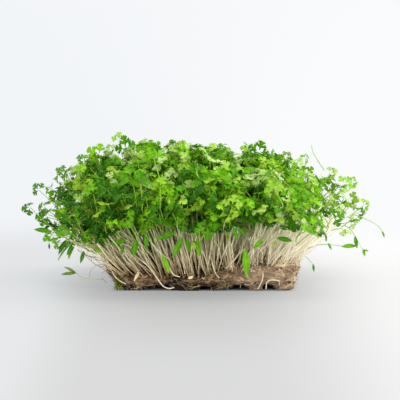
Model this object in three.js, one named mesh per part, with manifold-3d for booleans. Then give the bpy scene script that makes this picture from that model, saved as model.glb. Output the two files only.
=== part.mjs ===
// A block of celery-leaf microgreens, as lifted out of the tray that it grew in.
// A slab of rooted growing medium carries sheaves of pale seedling stems, each standing in a plain hole,
// and each sheaf carries a bunch of green foliage: three-part toothed leaves above, narrow seed leaves below.
// Millimetres, +Z up, front towards -Y. The origin is the middle of the slab's underside.

import * as THREE from "three";
import { mergeVertices } from "three/addons/utils/BufferGeometryUtils.js";
import Module from "manifold-3d";

const wasm = await Module();
wasm.setup();

// Slab of growing medium
const MAT_WIDTH = 116;
const MAT_DEPTH = 88;
const MAT_HEIGHT = 14.5;
const MAT_SIDE_BOW = 0.22; // how far the ends round off towards the front and back corners
const MAT_FRONT_BOW = 0.05;
const MAT_TAPER = 0.035; // the foot is narrower, as the tray's sloping sides left it
const MAT_RIPPLE = { height: 0.7, across: 7, deep: 6 };
const MAT_TORN_DROP = 6.5; // the front edge is torn thin on the left
const MAT_TORN = { back: 0.18, right: 0.26 }; // where the tear ends, as shares of the depth and the width
const MAT_CELLS = { across: 10, deep: 6, high: 2 };

// Hollows that the tray's ribs pressed into the underside from the front and the back, short of the middle
const RIB_HEIGHT = 3.2;
const RIB_START = 9; // from the middle of the slab
const RIB_SIDES = 8;
const RIBS = [
  { x: -31, half: 8 },
  { x: 0.5, half: 4 },
  { x: 20, half: 6.5 },
  { x: 37, half: 4 },
];

// Sheaves of stems, in staggered rows
const ROWS = 4;
const COLUMNS = 6;
const ROW_PITCH = 20.5;
const COLUMN_PITCH = 17;
const STAGGER = 3;
const ROOT_JITTER = 1;
const PLUG_SIDES = 6;
const PLUG_RADIUS = 3.6;
const PLUG_DEPTH = 6;
const PLUG_PROUD = 1.5;
const GAP = 0.4; // room between neighbouring pieces
const STEMS_PER_SHEAF = 6; // a ring of them, and one in the middle
const STEM_RADIUS = 0.85;
const STEM_STEPS = 2;
const STEM_JITTER = 0.25; // radians round the sheaf
const SHEAF_FOOT = 2.5; // radius of the ring of stems at the root, halfway up and under the crown
const SHEAF_WAIST = 3.8;
const SHEAF_HEAD = 6.4;

// The fan that the sheaves make: how far they spread, and the flat dome that their crowns lie on
const SPREAD_X = 1.72;
const SPREAD_Y = 1.6;
const CROWN_HIGH = 67;
const DOME_DROP = { side: 12, front: 24 }; // at the outermost columns and rows
const BEND_OUT = 0.4; // how far out and how far up a stem's bend lies, between its root and its crown
const BEND_UP = 0.52;

// Crown of green shoots inside each bunch, which the leaves stand out of
const CROWN_HEIGHT = 9;
const CROWN_FOOT = 8;
const CROWN_TOP = 4;
const CROWN_SIDES = 6;

// Three-part leaves
const LEAVES_PER_BUNCH = 5;
const LEAF_REACH = 11.5; // from the leaf's middle to the tip of its end leaflet
const BLADE_THICKNESS = 0.7;
const LEAF_DROOP = 0.02; // per millimetre, squared, away from the leaf's middle
const STALK_RADIUS = 0.75;
const STALK_LENGTH = { short: 14, long: 23 };
const STALK_STUB = 0.2; // share of the stalk that is kept clear of the other leaves of its bunch
const LEAF_SLOPE = { first: 14, last: 75 }; // degrees away from the lean of the sheaf
const LEAF_NOD = 0.4; // how far the tips point down
const LEAF_JITTER = { face: 0.5, tip: 0.4 };

// Narrow seed leaves, which hang below the rest
const SEED_LEAVES_PER_BUNCH = 3;
const SEED_LEAF_LENGTH = 17;
const SEED_LEAF_WIDTH = 4.4;
const SEED_LEAF_FOOT = 1.4;
const SEED_LEAF_WIDEST = 0.6; // share of the length
const SEED_LEAF_DROOP = 0.012;
const SEED_LEAF_ROOT = { down: 2.7, out: 3 }; // from the middle of the crown
const SEED_LEAF_NOD = { least: 0.2, most: 1.2 };
const SEED_LEAF_FACE_OUT = 0.6;
const SEED_LEAF_JITTER = 0.4;

// Leaves are turned from trial to trial until they are clear, straying further each time, in radians
const PLACING_TRIALS = 60;
const STRAY = {
  leafTurn: { first: 0.5, more: 2.5 },
  leafSlope: { first: 0.2, more: 0.4 },
  seedLeafTurn: { first: 1, more: 2 },
};
const stray = ({ first, more }, late) => around(first + more * late);
const GOLDEN_ANGLE = Math.PI * (3 - Math.sqrt(5));
const UP = new THREE.Vector3(0, 0, 1);

// Seeded random numbers, so that every build gives the same part
let seed = 7;
function random() {
  seed = (seed + 0x6d2b79f5) | 0;
  let bits = Math.imul(seed ^ (seed >>> 15), 1 | seed);
  bits = (bits + Math.imul(bits ^ (bits >>> 7), 61 | bits)) ^ bits;
  return ((bits ^ (bits >>> 14)) >>> 0) / 2 ** 32;
}
const between = (low, high) => low + (high - low) * random();
const around = (spread) => between(-spread, spread);

// A closed three.js geometry as a solid that can be joined and cut, and back again
function solidOf(geometry) {
  const bare = geometry.clone();
  bare.deleteAttribute("normal");
  bare.deleteAttribute("uv");
  const merged = mergeVertices(bare, 1e-4);
  return new wasm.Manifold(
    new wasm.Mesh({
      numProp: 3,
      vertProperties: Float32Array.from(merged.attributes.position.array),
      triVerts: Uint32Array.from(merged.index.array),
    }),
  );
}

function geometryOf(solid) {
  const { vertProperties, triVerts } = solid.getMesh();
  const geometry = new THREE.BufferGeometry();
  geometry.setAttribute("position", new THREE.BufferAttribute(vertProperties, 3));
  geometry.setIndex(new THREE.BufferAttribute(triVerts, 1));
  geometry.computeVertexNormals();
  return geometry;
}

const joined = (solids) => solids.reduce((whole, piece) => whole.add(piece));

// Moves every vertex of a geometry by a rule
function reshaped(geometry, rule) {
  const place = geometry.getAttribute("position");
  const point = new THREE.Vector3();
  for (let i = 0; i < place.count; i++) {
    rule(point.fromBufferAttribute(place, i));
    place.setXYZ(i, point.x, point.y, point.z);
  }
  return geometry;
}

// Height of the slab's top at a place on it: lightly rippled, and torn away at the left of the front
function matTop(x, y) {
  const { smoothstep } = THREE.MathUtils;
  const forward = smoothstep(-y, MAT_TORN.back * MAT_DEPTH, MAT_DEPTH / 2);
  const torn = forward * (1 - smoothstep(x, 0, MAT_TORN.right * MAT_WIDTH));
  const ripple = MAT_RIPPLE.height * Math.sin(1 + x / MAT_RIPPLE.across) * Math.cos(y / MAT_RIPPLE.deep);
  return MAT_HEIGHT + ripple - MAT_TORN_DROP * torn;
}

function rootMat(sheaves) {
  const block = new THREE.BoxGeometry(2, 2, 1, MAT_CELLS.across, MAT_CELLS.deep, MAT_CELLS.high);
  reshaped(block, (point) => {
    const { x: u, y: v } = point;
    const share = point.z + 0.5;
    const taper = 1 - MAT_TAPER * Math.max(0, 1 - 2 * share);
    point.x = (u * taper * MAT_WIDTH * Math.sqrt(1 - MAT_SIDE_BOW * v * v)) / 2;
    point.y = (v * taper * MAT_DEPTH * Math.sqrt(1 - MAT_FRONT_BOW * u * u)) / 2;
    point.z = share * matTop(point.x, point.y);
  });
  let mat = solidOf(block);
  for (const { x, half } of RIBS) {
    for (const side of [-1, 1]) {
      const hollow = new THREE.CylinderGeometry(1, 1, MAT_DEPTH, RIB_SIDES).scale(half, 1, RIB_HEIGHT);
      mat = mat.subtract(solidOf(hollow.translate(x, side * (RIB_START + MAT_DEPTH / 2), 0)));
    }
  }
  for (const { root } of sheaves) {
    mat = mat.subtract(plug(root, PLUG_RADIUS + GAP, root.z - PLUG_DEPTH - GAP, MAT_HEIGHT + PLUG_DEPTH));
  }
  return mat;
}

// Upright peg: the root crown of a sheaf, or the hole that it stands in
function plug(root, radius, bottom, top) {
  const peg = new THREE.CylinderGeometry(radius, radius, top - bottom, PLUG_SIDES).rotateX(Math.PI / 2);
  return solidOf(peg.translate(root.x, root.y, (bottom + top) / 2));
}

// Places of all the sheaves: the root on the slab, the crown on the dome, and the way the sheaf leans there
function layOutSheaves() {
  const sheaves = [];
  const lastRow = (ROWS - 1) / 2;
  const lastColumn = (COLUMNS - 1) / 2;
  for (let row = -lastRow; row <= lastRow; row++) {
    for (let column = -lastColumn; column <= lastColumn; column++) {
      const shift = (row + lastRow) % 2 ? STAGGER : -STAGGER;
      const x = column * COLUMN_PITCH + shift + around(ROOT_JITTER);
      const y = row * ROW_PITCH + around(ROOT_JITTER);
      const root = new THREE.Vector3(x, y, matTop(x, y));
      const sideDrop = DOME_DROP.side * (column / lastColumn) ** 2;
      const frontDrop = DOME_DROP.front * (row / lastRow) ** 2;
      const crown = new THREE.Vector3(SPREAD_X * x, SPREAD_Y * y, CROWN_HIGH - Math.hypot(sideDrop, frontDrop));
      const bend = new THREE.Vector3().lerpVectors(root, crown, BEND_OUT);
      bend.z = THREE.MathUtils.lerp(root.z, crown.z, BEND_UP);
      const lean = new THREE.Vector3().subVectors(crown, bend).normalize();
      sheaves.push({ name: `${row + lastRow + 1}_${column + lastColumn + 1}`, root, bend, crown, lean });
    }
  }
  return sheaves;
}

// Two directions square to a given one
function sideways(direction) {
  const across = new THREE.Vector3(direction.y, -direction.x, 0);
  if (across.lengthSq() < 1e-6) across.set(1, 0, 0);
  across.normalize();
  return { across, along: new THREE.Vector3().crossVectors(direction, across) };
}

// Three-sided rod along a curve
function rod(curve, radius, steps) {
  const section = new THREE.Shape();
  for (let side = 0; side < 3; side++) {
    const turn = (side * 2 * Math.PI) / 3;
    const corner = [radius * Math.cos(turn), radius * Math.sin(turn)];
    if (side) section.lineTo(...corner);
    else section.moveTo(...corner);
  }
  return solidOf(new THREE.ExtrudeGeometry(section, { steps, extrudePath: curve }));
}

// A sheaf of stems: a root crown in its hole, and stems that part on their way up to the crown of shoots
function stemSheaf({ root, bend, crown, lean }) {
  const { across, along } = sideways(lean);
  const level = new THREE.Vector3().crossVectors(UP, across);
  const collar = root.clone().addScaledVector(UP, PLUG_PROUD / 2);
  const underside = crown.clone().addScaledVector(lean, -CROWN_HEIGHT / 2 - 2 * GAP);
  const pieces = [plug(root, PLUG_RADIUS, root.z - PLUG_DEPTH, root.z + PLUG_PROUD)];
  for (let stem = 0; stem < STEMS_PER_SHEAF; stem++) {
    const turn = (stem * 2 * Math.PI) / (STEMS_PER_SHEAF - 1) + around(STEM_JITTER);
    const out = stem < STEMS_PER_SHEAF - 1 ? 1 : 0;
    const [u, v] = [out * Math.cos(turn), out * Math.sin(turn)];
    const ringed = (centre, radius, second) =>
      centre.clone().addScaledVector(across, radius * u).addScaledVector(second, radius * v);
    const foot = ringed(collar, SHEAF_FOOT, level);
    const middle = ringed(bend, SHEAF_WAIST, along);
    const head = ringed(underside, SHEAF_HEAD, along);
    pieces.push(rod(new THREE.QuadraticBezierCurve3(foot, middle, head), STEM_RADIUS, STEM_STEPS));
  }
  return joined(pieces);
}

// Moves a geometry modelled at the origin, with its face up +Z, to a place: forward is where +Y goes
function placed(geometry, place, forward, face) {
  const right = new THREE.Vector3().crossVectors(forward, face).normalize();
  const ahead = new THREE.Vector3().crossVectors(face, right);
  const turn = new THREE.Matrix4().makeBasis(right, ahead, face);
  return geometry.applyMatrix4(turn.setPosition(place));
}

function crownOfShoots({ crown, lean }) {
  const core = new THREE.CylinderGeometry(CROWN_TOP, CROWN_FOOT, CROWN_HEIGHT, CROWN_SIDES);
  return solidOf(placed(core.rotateX(Math.PI / 2), crown, sideways(lean).along, lean));
}

// Outline of a three-part leaf about the place where its stalk joins: turn from straight ahead, and reach.
// Each leaflet is a wedge with two corners and a tip, and the gaps between leaflets run in to the rib.
const degrees = THREE.MathUtils.degToRad;
const HALF_LEAF = [
  [28, 0.78],
  [41, 0.24],
  [54, 0.8],
  [84, 0.94],
  [120, 0.66],
];
const LEAF_OUTLINE = [
  [0, 1],
  ...HALF_LEAF,
  [180, 0.18],
  ...HALF_LEAF.map(([turn, reach]) => [360 - turn, reach]).reverse(),
];
const COLLAR_TURNS = [60, 180, 300]; // corners of the three-sided stalk

// A leaf on its stalk as one closed skin: the blade arches away from its middle, and its underside draws in
// to a collar from which the stalk runs back. A clear leaf is thicker all round.
function leafSkin({ from, place, forward, face }, clear) {
  const right = new THREE.Vector3().crossVectors(forward, face).normalize();
  const ahead = new THREE.Vector3().crossVectors(face, right);
  const half = BLADE_THICKNESS / 2 + clear;
  const stalkRadius = STALK_RADIUS + clear;
  const at = (turn, reach, lift) =>
    place
      .clone()
      .addScaledVector(right, reach * Math.sin(degrees(turn)))
      .addScaledVector(ahead, reach * Math.cos(degrees(turn)))
      .addScaledVector(face, lift - LEAF_DROOP * reach * reach);
  const ring = (lift) => LEAF_OUTLINE.map(([turn, reach]) => at(turn, reach * LEAF_REACH + clear, lift));
  const collar = COLLAR_TURNS.map((turn) => at(turn, stalkRadius, -half));
  const back = new THREE.Vector3().subVectors(place, from).normalize();
  const foot = COLLAR_TURNS.map((turn) => {
    const aside = at(turn, stalkRadius, 0).sub(place).projectOnPlane(back).setLength(stalkRadius);
    return aside.add(from);
  });
  return skin([at(0, 0, half), ...ring(half), ...ring(-half), ...collar, ...foot], leafFaces());
}

// Faces of the leaf's skin: its top fans out from the middle, and its underside runs in to the collar
function leafFaces() {
  const count = LEAF_OUTLINE.length;
  const sides = COLLAR_TURNS.length;
  const top = (i) => 1 + (i % count);
  const under = (i) => 1 + count + (i % count);
  const collar = (k) => 1 + 2 * count + (k % sides);
  const foot = (k) => collar(k) + sides;
  const side = (i) => Math.floor((LEAF_OUTLINE[i % count][0] * sides) / 360); // the stalk's nearest corner
  const faces = [[foot(0), foot(1), foot(2)]];
  for (let i = 0; i < count; i++) {
    faces.push([0, top(i + 1), top(i)]);
    faces.push([top(i), top(i + 1), under(i + 1)], [top(i), under(i + 1), under(i)]);
    faces.push([under(i), under(i + 1), collar(side(i))]);
    if (side(i) !== side(i + 1)) faces.push([collar(side(i + 1)), collar(side(i)), under(i + 1)]);
  }
  for (let j = 0; j < sides; j++) {
    faces.push([collar(j), collar(j + 1), foot(j + 1)], [collar(j), foot(j + 1), foot(j)]);
  }
  return faces;
}

// Closed solid from its corners and triangles
function skin(corners, faces) {
  return new wasm.Manifold(
    new wasm.Mesh({
      numProp: 3,
      vertProperties: Float32Array.from(corners.flatMap((corner) => corner.toArray())),
      triVerts: Uint32Array.from(faces.flat()),
    }),
  );
}

// Narrow blade that widens from its foot and arches down towards its tip
function seedLeaf({ from, forward, face }, clear) {
  const shape = new THREE.Shape();
  shape.moveTo(-SEED_LEAF_FOOT / 2 - clear, 0);
  shape.lineTo(SEED_LEAF_FOOT / 2 + clear, 0);
  shape.lineTo(SEED_LEAF_WIDTH / 2 + clear, SEED_LEAF_WIDEST * SEED_LEAF_LENGTH);
  shape.lineTo(0, SEED_LEAF_LENGTH + clear);
  shape.lineTo(-SEED_LEAF_WIDTH / 2 - clear, SEED_LEAF_WIDEST * SEED_LEAF_LENGTH);
  const depth = BLADE_THICKNESS + 2 * clear;
  const flat = new THREE.ExtrudeGeometry(shape, { depth, steps: 1, bevelEnabled: false });
  const arched = reshaped(flat.translate(0, 0, -depth / 2), (point) => {
    point.z -= SEED_LEAF_DROOP * point.y * point.y;
  });
  return solidOf(placed(arched, from, forward, face));
}

// Direction that turns round the lean of a sheaf and slopes away from it
function leaving(lean, turn, slope) {
  const { across, along } = sideways(lean);
  return new THREE.Vector3()
    .addScaledVector(across, Math.cos(turn) * Math.sin(slope))
    .addScaledVector(along, Math.sin(turn) * Math.sin(slope))
    .addScaledVector(lean, Math.cos(slope));
}

const jitter = (spread) => new THREE.Vector3(around(spread), around(spread), around(spread));

// A trial place for a bunch's nth leaf: out of the crown, the first nearly in line with the sheaf and later
// ones further round, facing out and up. It gives the whole leaf, and its blade with a stub of the stalk.
function trialLeaf({ crown, lean }, n, late) {
  const turn = n * GOLDEN_ANGLE + stray(STRAY.leafTurn, late);
  const tilt = THREE.MathUtils.lerp(LEAF_SLOPE.first, LEAF_SLOPE.last, n / (LEAVES_PER_BUNCH - 1));
  const out = leaving(lean, turn, degrees(tilt) + stray(STRAY.leafSlope, late));
  const place = crown.clone().addScaledVector(out, between(STALK_LENGTH.short, STALK_LENGTH.long));
  const face = out.clone().add(UP).add(jitter(LEAF_JITTER.face)).normalize();
  const forward = out.clone().addScaledVector(UP, -LEAF_NOD).add(jitter(LEAF_JITTER.tip));
  const stub = new THREE.Vector3().lerpVectors(place, crown, STALK_STUB);
  return (clear) => ({
    whole: boxed(leafSkin({ from: crown, place, forward, face }, clear)),
    blade: boxed(leafSkin({ from: stub, place, forward, face }, clear)),
  });
}

// A trial place for a bunch's nth seed leaf: out of the crown's foot, hanging outwards and down
function trialSeedLeaf({ crown, lean }, n, late) {
  const out = leaving(lean, n * GOLDEN_ANGLE + stray(STRAY.seedLeafTurn, late), Math.PI / 2);
  const from = crown.clone().addScaledVector(lean, -SEED_LEAF_ROOT.down);
  from.addScaledVector(out, SEED_LEAF_ROOT.out);
  const forward = out.clone().addScaledVector(UP, -between(SEED_LEAF_NOD.least, SEED_LEAF_NOD.most));
  const face = UP.clone().addScaledVector(out, SEED_LEAF_FACE_OUT).add(jitter(SEED_LEAF_JITTER)).normalize();
  return (clear) => {
    const whole = boxed(seedLeaf({ from, forward, face }, clear));
    return { whole, blade: whole };
  };
}

// A solid with its box, which rules out most pairs before they are tested
const boxed = (solid) => ({ solid, box: solid.boundingBox() });
const apart = (a, b) => [0, 1, 2].some((axis) => a.min[axis] > b.max[axis] || b.min[axis] > a.max[axis]);
const touches = (a, b) => !apart(a.box, b.box) && !a.solid.intersect(b.solid).isEmpty();

// Turns a leaf from trial to trial until it stands clear of all the others, or leaves it out.
// Stalks of one bunch may meet, as they all come out of its crown.
function firstClear(trial, bunch, others) {
  for (let attempt = 0; attempt < PLACING_TRIALS; attempt++) {
    const leaf = trial(attempt / PLACING_TRIALS);
    const room = leaf(GAP);
    const meets = ({ blade, whole }) => touches(room.blade, whole) || touches(room.whole, blade);
    if (bunch.some(meets) || others.some((other) => touches(room.whole, other))) continue;
    return leaf(0);
  }
  return null;
}

// Bunches of foliage, one on each sheaf, bent clear of each other, of the stems and of the slab
function foliage(sheaves, stems, mat) {
  const crowns = sheaves.map((sheaf) => boxed(crownOfShoots(sheaf)));
  const bunches = sheaves.map(() => []);
  const below = [mat, ...stems].map(boxed);
  const layers = [
    { count: LEAVES_PER_BUNCH, trial: trialLeaf },
    { count: SEED_LEAVES_PER_BUNCH, trial: trialSeedLeaf },
  ];
  for (const { count, trial } of layers) {
    for (let n = 0; n < count; n++) {
      sheaves.forEach((sheaf, own) => {
        const leaves = bunches.flatMap((bunch, i) => (i === own ? [] : bunch.map(({ whole }) => whole)));
        const others = [...below, ...crowns.filter((_, i) => i !== own), ...leaves];
        const leaf = firstClear((late) => trial(sheaf, n, late), bunches[own], others);
        if (leaf) bunches[own].push(leaf);
      });
    }
  }
  return bunches.map((bunch, i) => joined([crowns[i].solid, ...bunch.map(({ whole }) => whole.solid)]));
}

const MATERIALS = {
  medium: new THREE.MeshStandardMaterial({ color: 0x8a6f55, roughness: 0.95, metalness: 0 }),
  stem: new THREE.MeshStandardMaterial({ color: 0xd8ccb0, roughness: 0.5, metalness: 0 }),
  leaf: new THREE.MeshStandardMaterial({ color: 0x6a9a2a, roughness: 0.45, metalness: 0 }),
};

const block = new THREE.Group();

function show(name, solid, material) {
  const mesh = new THREE.Mesh(geometryOf(solid), material);
  mesh.name = name;
  block.add(mesh);
}

const sheaves = layOutSheaves();
const mat = rootMat(sheaves);
const stems = sheaves.map(stemSheaf);
show("root_mat", mat, MATERIALS.medium);
sheaves.forEach(({ name }, i) => show(`stems_${name}`, stems[i], MATERIALS.stem));
foliage(sheaves, stems, mat).forEach((bunch, i) => show(`foliage_${sheaves[i].name}`, bunch, MATERIALS.leaf));

export default block;
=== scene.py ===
"""Looks of a block of celery-leaf microgreens on its root mat.

Every seedling has a pale stem that stands in the mat. Up to three stalked three-part leaves grow from the top
of the stem, and on some also two narrow seed leaves. Metres, +Z up, front towards -Y.
"""

import math
import random

import bmesh
import bpy
from mathutils import Matrix, Vector, noise
from mathutils.bvhtree import BVHTree


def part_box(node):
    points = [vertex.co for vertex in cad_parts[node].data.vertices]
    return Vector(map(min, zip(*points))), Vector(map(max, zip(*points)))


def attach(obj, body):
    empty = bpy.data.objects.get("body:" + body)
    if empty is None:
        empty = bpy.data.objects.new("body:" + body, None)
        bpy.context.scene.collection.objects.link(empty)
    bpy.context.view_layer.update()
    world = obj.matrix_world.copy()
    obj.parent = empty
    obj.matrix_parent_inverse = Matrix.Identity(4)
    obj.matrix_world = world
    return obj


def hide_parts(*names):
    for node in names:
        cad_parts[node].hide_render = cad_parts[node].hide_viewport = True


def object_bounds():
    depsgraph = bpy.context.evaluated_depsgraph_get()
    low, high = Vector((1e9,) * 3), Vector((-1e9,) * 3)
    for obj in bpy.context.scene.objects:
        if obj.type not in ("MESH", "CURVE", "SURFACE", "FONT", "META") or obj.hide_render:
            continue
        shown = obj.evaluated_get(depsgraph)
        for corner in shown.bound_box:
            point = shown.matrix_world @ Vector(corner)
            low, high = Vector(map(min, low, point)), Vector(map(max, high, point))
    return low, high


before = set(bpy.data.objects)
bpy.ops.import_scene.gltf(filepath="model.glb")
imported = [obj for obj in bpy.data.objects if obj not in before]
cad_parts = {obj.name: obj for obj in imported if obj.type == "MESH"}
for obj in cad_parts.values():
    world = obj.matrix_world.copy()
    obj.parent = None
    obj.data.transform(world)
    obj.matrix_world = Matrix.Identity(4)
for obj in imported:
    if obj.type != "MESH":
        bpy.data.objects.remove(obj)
cad_low, cad_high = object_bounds()

MM = 0.001
UP = Vector((0, 0, 1))
BACKWARD = Vector((0, 1, 0))
chance = random.Random(11)


def around(spread):
    return chance.uniform(-spread, spread)


def strew(spread):
    return Vector((around(spread), around(spread), around(spread)))


def between(ends, share):
    return ends[0] + (ends[1] - ends[0]) * share


def clamped(value, low=0, high=1):
    return min(high, max(low, value))


def share_of(value, start, end):
    """How far a value has come from start to end: from 0 to 1."""
    return clamped((value - start) / (end - start))


def bent_line(corners, unit=MM):
    """A line through corners that are given as x in millimetres and height in units."""
    return [(x * MM, height * unit) for x, height in corners]


def along(line, x):
    """Height of a bent line at x."""
    for (x0, height0), (x1, height1) in zip(line, line[1:]):
        if x <= x1:
            return between((height0, height1), share_of(x, x0, x1))
    return line[-1][1]


# Photograph: a square picture taken from a little above, from far away
PHOTO_PIXELS = 400
PIXEL = 0.58 * MM
VIEW_DISTANCE = 1.2
VIEW_ELEVATION = math.radians(6)
VIEW_AIM = Vector((-2.5 * MM, 0, 46.9 * MM))
VIEW_AHEAD = Vector((0, math.cos(VIEW_ELEVATION), -math.sin(VIEW_ELEVATION)))
VIEW_RIGHT = Vector((1, 0, 0))
VIEW_UP = VIEW_RIGHT.cross(VIEW_AHEAD)
VIEW_PLACE = VIEW_AIM - VIEW_AHEAD * VIEW_DISTANCE
SENSOR_MM = 36


def aimed(way):
    """Turn of a camera or lamp that looks along a way."""
    return way.to_track_quat("-Z", "Y").to_euler()


def set_camera():
    data = bpy.data.cameras.new("photograph")
    data.sensor_width = SENSOR_MM
    data.lens = SENSOR_MM * VIEW_DISTANCE / (PHOTO_PIXELS * PIXEL)
    camera = object_of("photograph", data)
    camera.location = VIEW_PLACE
    camera.rotation_euler = aimed(VIEW_AHEAD)
    bpy.context.scene.camera = camera


def photo_spot(across, down, depth):
    """Place at a depth along Y, in millimetres, that shows at a pixel of the photograph."""
    half = PHOTO_PIXELS / 2
    aside = VIEW_RIGHT * (across - half) + VIEW_UP * (half - down)
    ray = VIEW_AHEAD + aside * (PIXEL / VIEW_DISTANCE)
    return VIEW_PLACE + ray * ((depth * MM - VIEW_PLACE.y) / ray.y)


def photo_line(corners, lowest=0):
    """Points along a smooth line through corners, given as pixel and depth, kept above a height."""
    points = rounded([photo_spot(*corner) for corner in corners])
    for point in points:
        point.z = max(point.z, lowest)
    return points


# Meshes
SHARP_EDGE = math.radians(80)  # the rims of blades stay crisp, and round stems smooth
TUBE_WELD = 0.001 * MM
ROUNDED_STEPS = 4


def object_of(name, data):
    thing = bpy.data.objects.new(name, data)
    bpy.context.scene.collection.objects.link(thing)
    return thing


def mesh_of(bm, name):
    mesh = bpy.data.meshes.new(name)
    bm.to_mesh(mesh)
    bm.free()
    return mesh


def bmesh_of(mesh):
    """Takes over a mesh for editing."""
    bm = bmesh.new()
    bm.from_mesh(mesh)
    bpy.data.meshes.remove(mesh)
    return bm


def smooth(mesh):
    mesh.shade_smooth()
    mesh.set_sharp_from_angle(angle=SHARP_EDGE)
    return mesh


def blade_piece(name, bm):
    return object_of(name, smooth(mesh_of(bm, name)))


def tube_piece(name, runs, sides=6):
    return object_of(name, smooth(tubes(name, runs, sides)))


def tubes(name, runs, sides=6):
    """Round tapering tubes, closed at both ends, along runs of (point, radius)."""
    curve = bpy.data.curves.new(name, "CURVE")
    curve.dimensions = "3D"
    curve.bevel_depth = 1
    curve.bevel_resolution = (sides - 4) // 2
    curve.use_fill_caps = True
    for run in runs:
        spline = curve.splines.new("POLY")
        spline.points.add(len(run) - 1)
        for knot, (point, radius) in zip(spline.points, run):
            knot.co = (*point, 1)
            knot.radius = radius
    holder = object_of(name, curve)
    bpy.context.view_layer.update()
    bm = bmesh_of(bpy.data.meshes.new_from_object(holder))
    bpy.data.objects.remove(holder)
    bpy.data.curves.remove(curve)
    bmesh.ops.remove_doubles(bm, verts=bm.verts, dist=TUBE_WELD)
    bmesh.ops.recalc_face_normals(bm, faces=bm.faces)
    return mesh_of(bm, name)


def arc(start, middle, end, share):
    """Point on a curve that leaves start towards middle and comes into end."""
    return start.lerp(middle, share).lerp(middle.lerp(end, share), share)


def arched(start, middle, end, knots):
    return [arc(start, middle, end, knot / (knots - 1)) for knot in range(knots)]


def tapering(points, thick, thin):
    """A run through points, from a thick to a thin radius."""
    last = len(points) - 1
    return [(point, between((thick, thin), index / last)) for index, point in enumerate(points)]


def rounded(corners):
    """Points along a smooth line through corners."""
    ends = [corners[0] * 2 - corners[1], *corners, corners[-1] * 2 - corners[-2]]
    points = []
    for before, start, end, after in zip(ends, ends[1:], ends[2:], ends[3:]):
        for step in range(ROUNDED_STEPS):
            t = step / ROUNDED_STEPS
            swing = (end - before) * t + (2 * before - 5 * start + 4 * end - after) * t**2
            points.append(start + (swing + (3 * start - before - 3 * end + after) * t**3) / 2)
    return points + [corners[-1]]


# Root mat
mat_low, mat_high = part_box("root_mat")
OUTSIDE_BLOCK = 0.1  # where rays that look for the mat start
CROWN_FOOT = 1 * MM
ROOT_CROWN_DEPTH = 6 * MM
ROOT_CROWN_RADIUS = 5 * MM
ROOT_CROWN_OVERLAP = 2 * MM
ROOT_CROWN_SIDES = 12
MAT_WELD = 0.01 * MM
MAT_VOXEL = 0.8 * MM
MAT_SMOOTHINGS = 2
MAT_SMOOTHING = 0.5
MAT_LUMPS = ((10 * MM, 1.0 * MM), (4 * MM, 1.1 * MM), (1.7 * MM, 0.8 * MM))  # size and height
MAT_LUMPS_SINK = 0.3 * MM
MAT_FLAT_SIDE = 1.6  # crumbs are this much longer than they are high
UNDERSIDE_PAINTED_SHADE = 0.9  # painted shade: how much darker the underside that faces down is
FRONT_HOLLOWS = ((-33, -20), (-3, 4), (14, 26), (33, 39))  # along X, in millimetres
HOLLOW_HEIGHT = 3.6 * MM
HOLLOW_DEPTH = 7 * MM
HOLLOW_EDGE = 2  # millimetres over which a hollow sets in
HOLLOW_EDGE_SHARE = 0.3
HOLLOW_ROOF_POWER = 3
# painted shade: how much darker the hollows under the front edge are
HOLLOW_PAINTED_SHADE = 0.9
CLEAR_HEIGHT = 0.9 * MM
CLEAR_SHARE = 0.15
TOP_LEAST_UP = -0.1  # how far the mat's normal points up at a place
CORNER_FROM = 22 * MM
CORNER_PINCH = 0.08
CORNER_PINCH_FADE = 0.6
RIGHT_DRAWN_IN = bent_line(
    ((-44, 0), (-30, 0.045), (-20, 0.07), (-5, 0.08), (10, 0.045), (22, 0), (44, 0)), unit=1)
LEFT_END = 20 * MM
LEFT_UNDERCUT = 6 * MM
FUZZY_PATCH = Vector((-38, -44)) * MM
FUZZY_PATCH_HALF = 6 * MM
FUZZY_PALE = 0.28


def sheaf_names():
    return [name.removeprefix("stems_") for name in sorted(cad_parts) if name.startswith("stems_")]


def sheaf_root(name):
    """Middle of the root crown that stands in the mat."""
    low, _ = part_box("stems_" + name)
    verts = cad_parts["stems_" + name].data.vertices
    foot = [vert.co for vert in verts if vert.co.z < low.z + CROWN_FOOT]
    return sum(foot, Vector()) / len(foot)


def hollow_share(spot):
    """How far a place lies in one of the hollows under the front edge: from 0 to 1."""
    if spot.y > -CORNER_FROM or spot.z > HOLLOW_HEIGHT:
        return 0
    inside = max(min(spot.x / MM - start, end - spot.x / MM) for start, end in FRONT_HOLLOWS)
    low = 1 - (spot.z / HOLLOW_HEIGHT)**HOLLOW_ROOF_POWER
    return clamped(inside / HOLLOW_EDGE + HOLLOW_EDGE_SHARE) * low


def clear_of_hollows(spot):
    return spot.z > CLEAR_HEIGHT and hollow_share(spot) < CLEAR_SHARE


def pinched(spot):
    """X of a place with the ends drawn in: the right one, which runs aslant, and the foot of the left one."""
    if spot.x > 0:
        return spot.x * (1 - along(RIGHT_DRAWN_IN, spot.y))
    high = spot.z / mat_high.z
    front = share_of(-spot.y, CORNER_FROM, -mat_low.y)
    left = clamped((spot.x - mat_low.x) / LEFT_END)
    corner = CORNER_PINCH * (1 - CORNER_PINCH_FADE * high) * front**2
    return spot.x * (1 - corner) + LEFT_UNDERCUT * (1 - high)**2 * (1 - left)


def patch_share(spot):
    away = (spot.xy - FUZZY_PATCH).length / FUZZY_PATCH_HALF
    return math.exp(-away * away)


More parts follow.
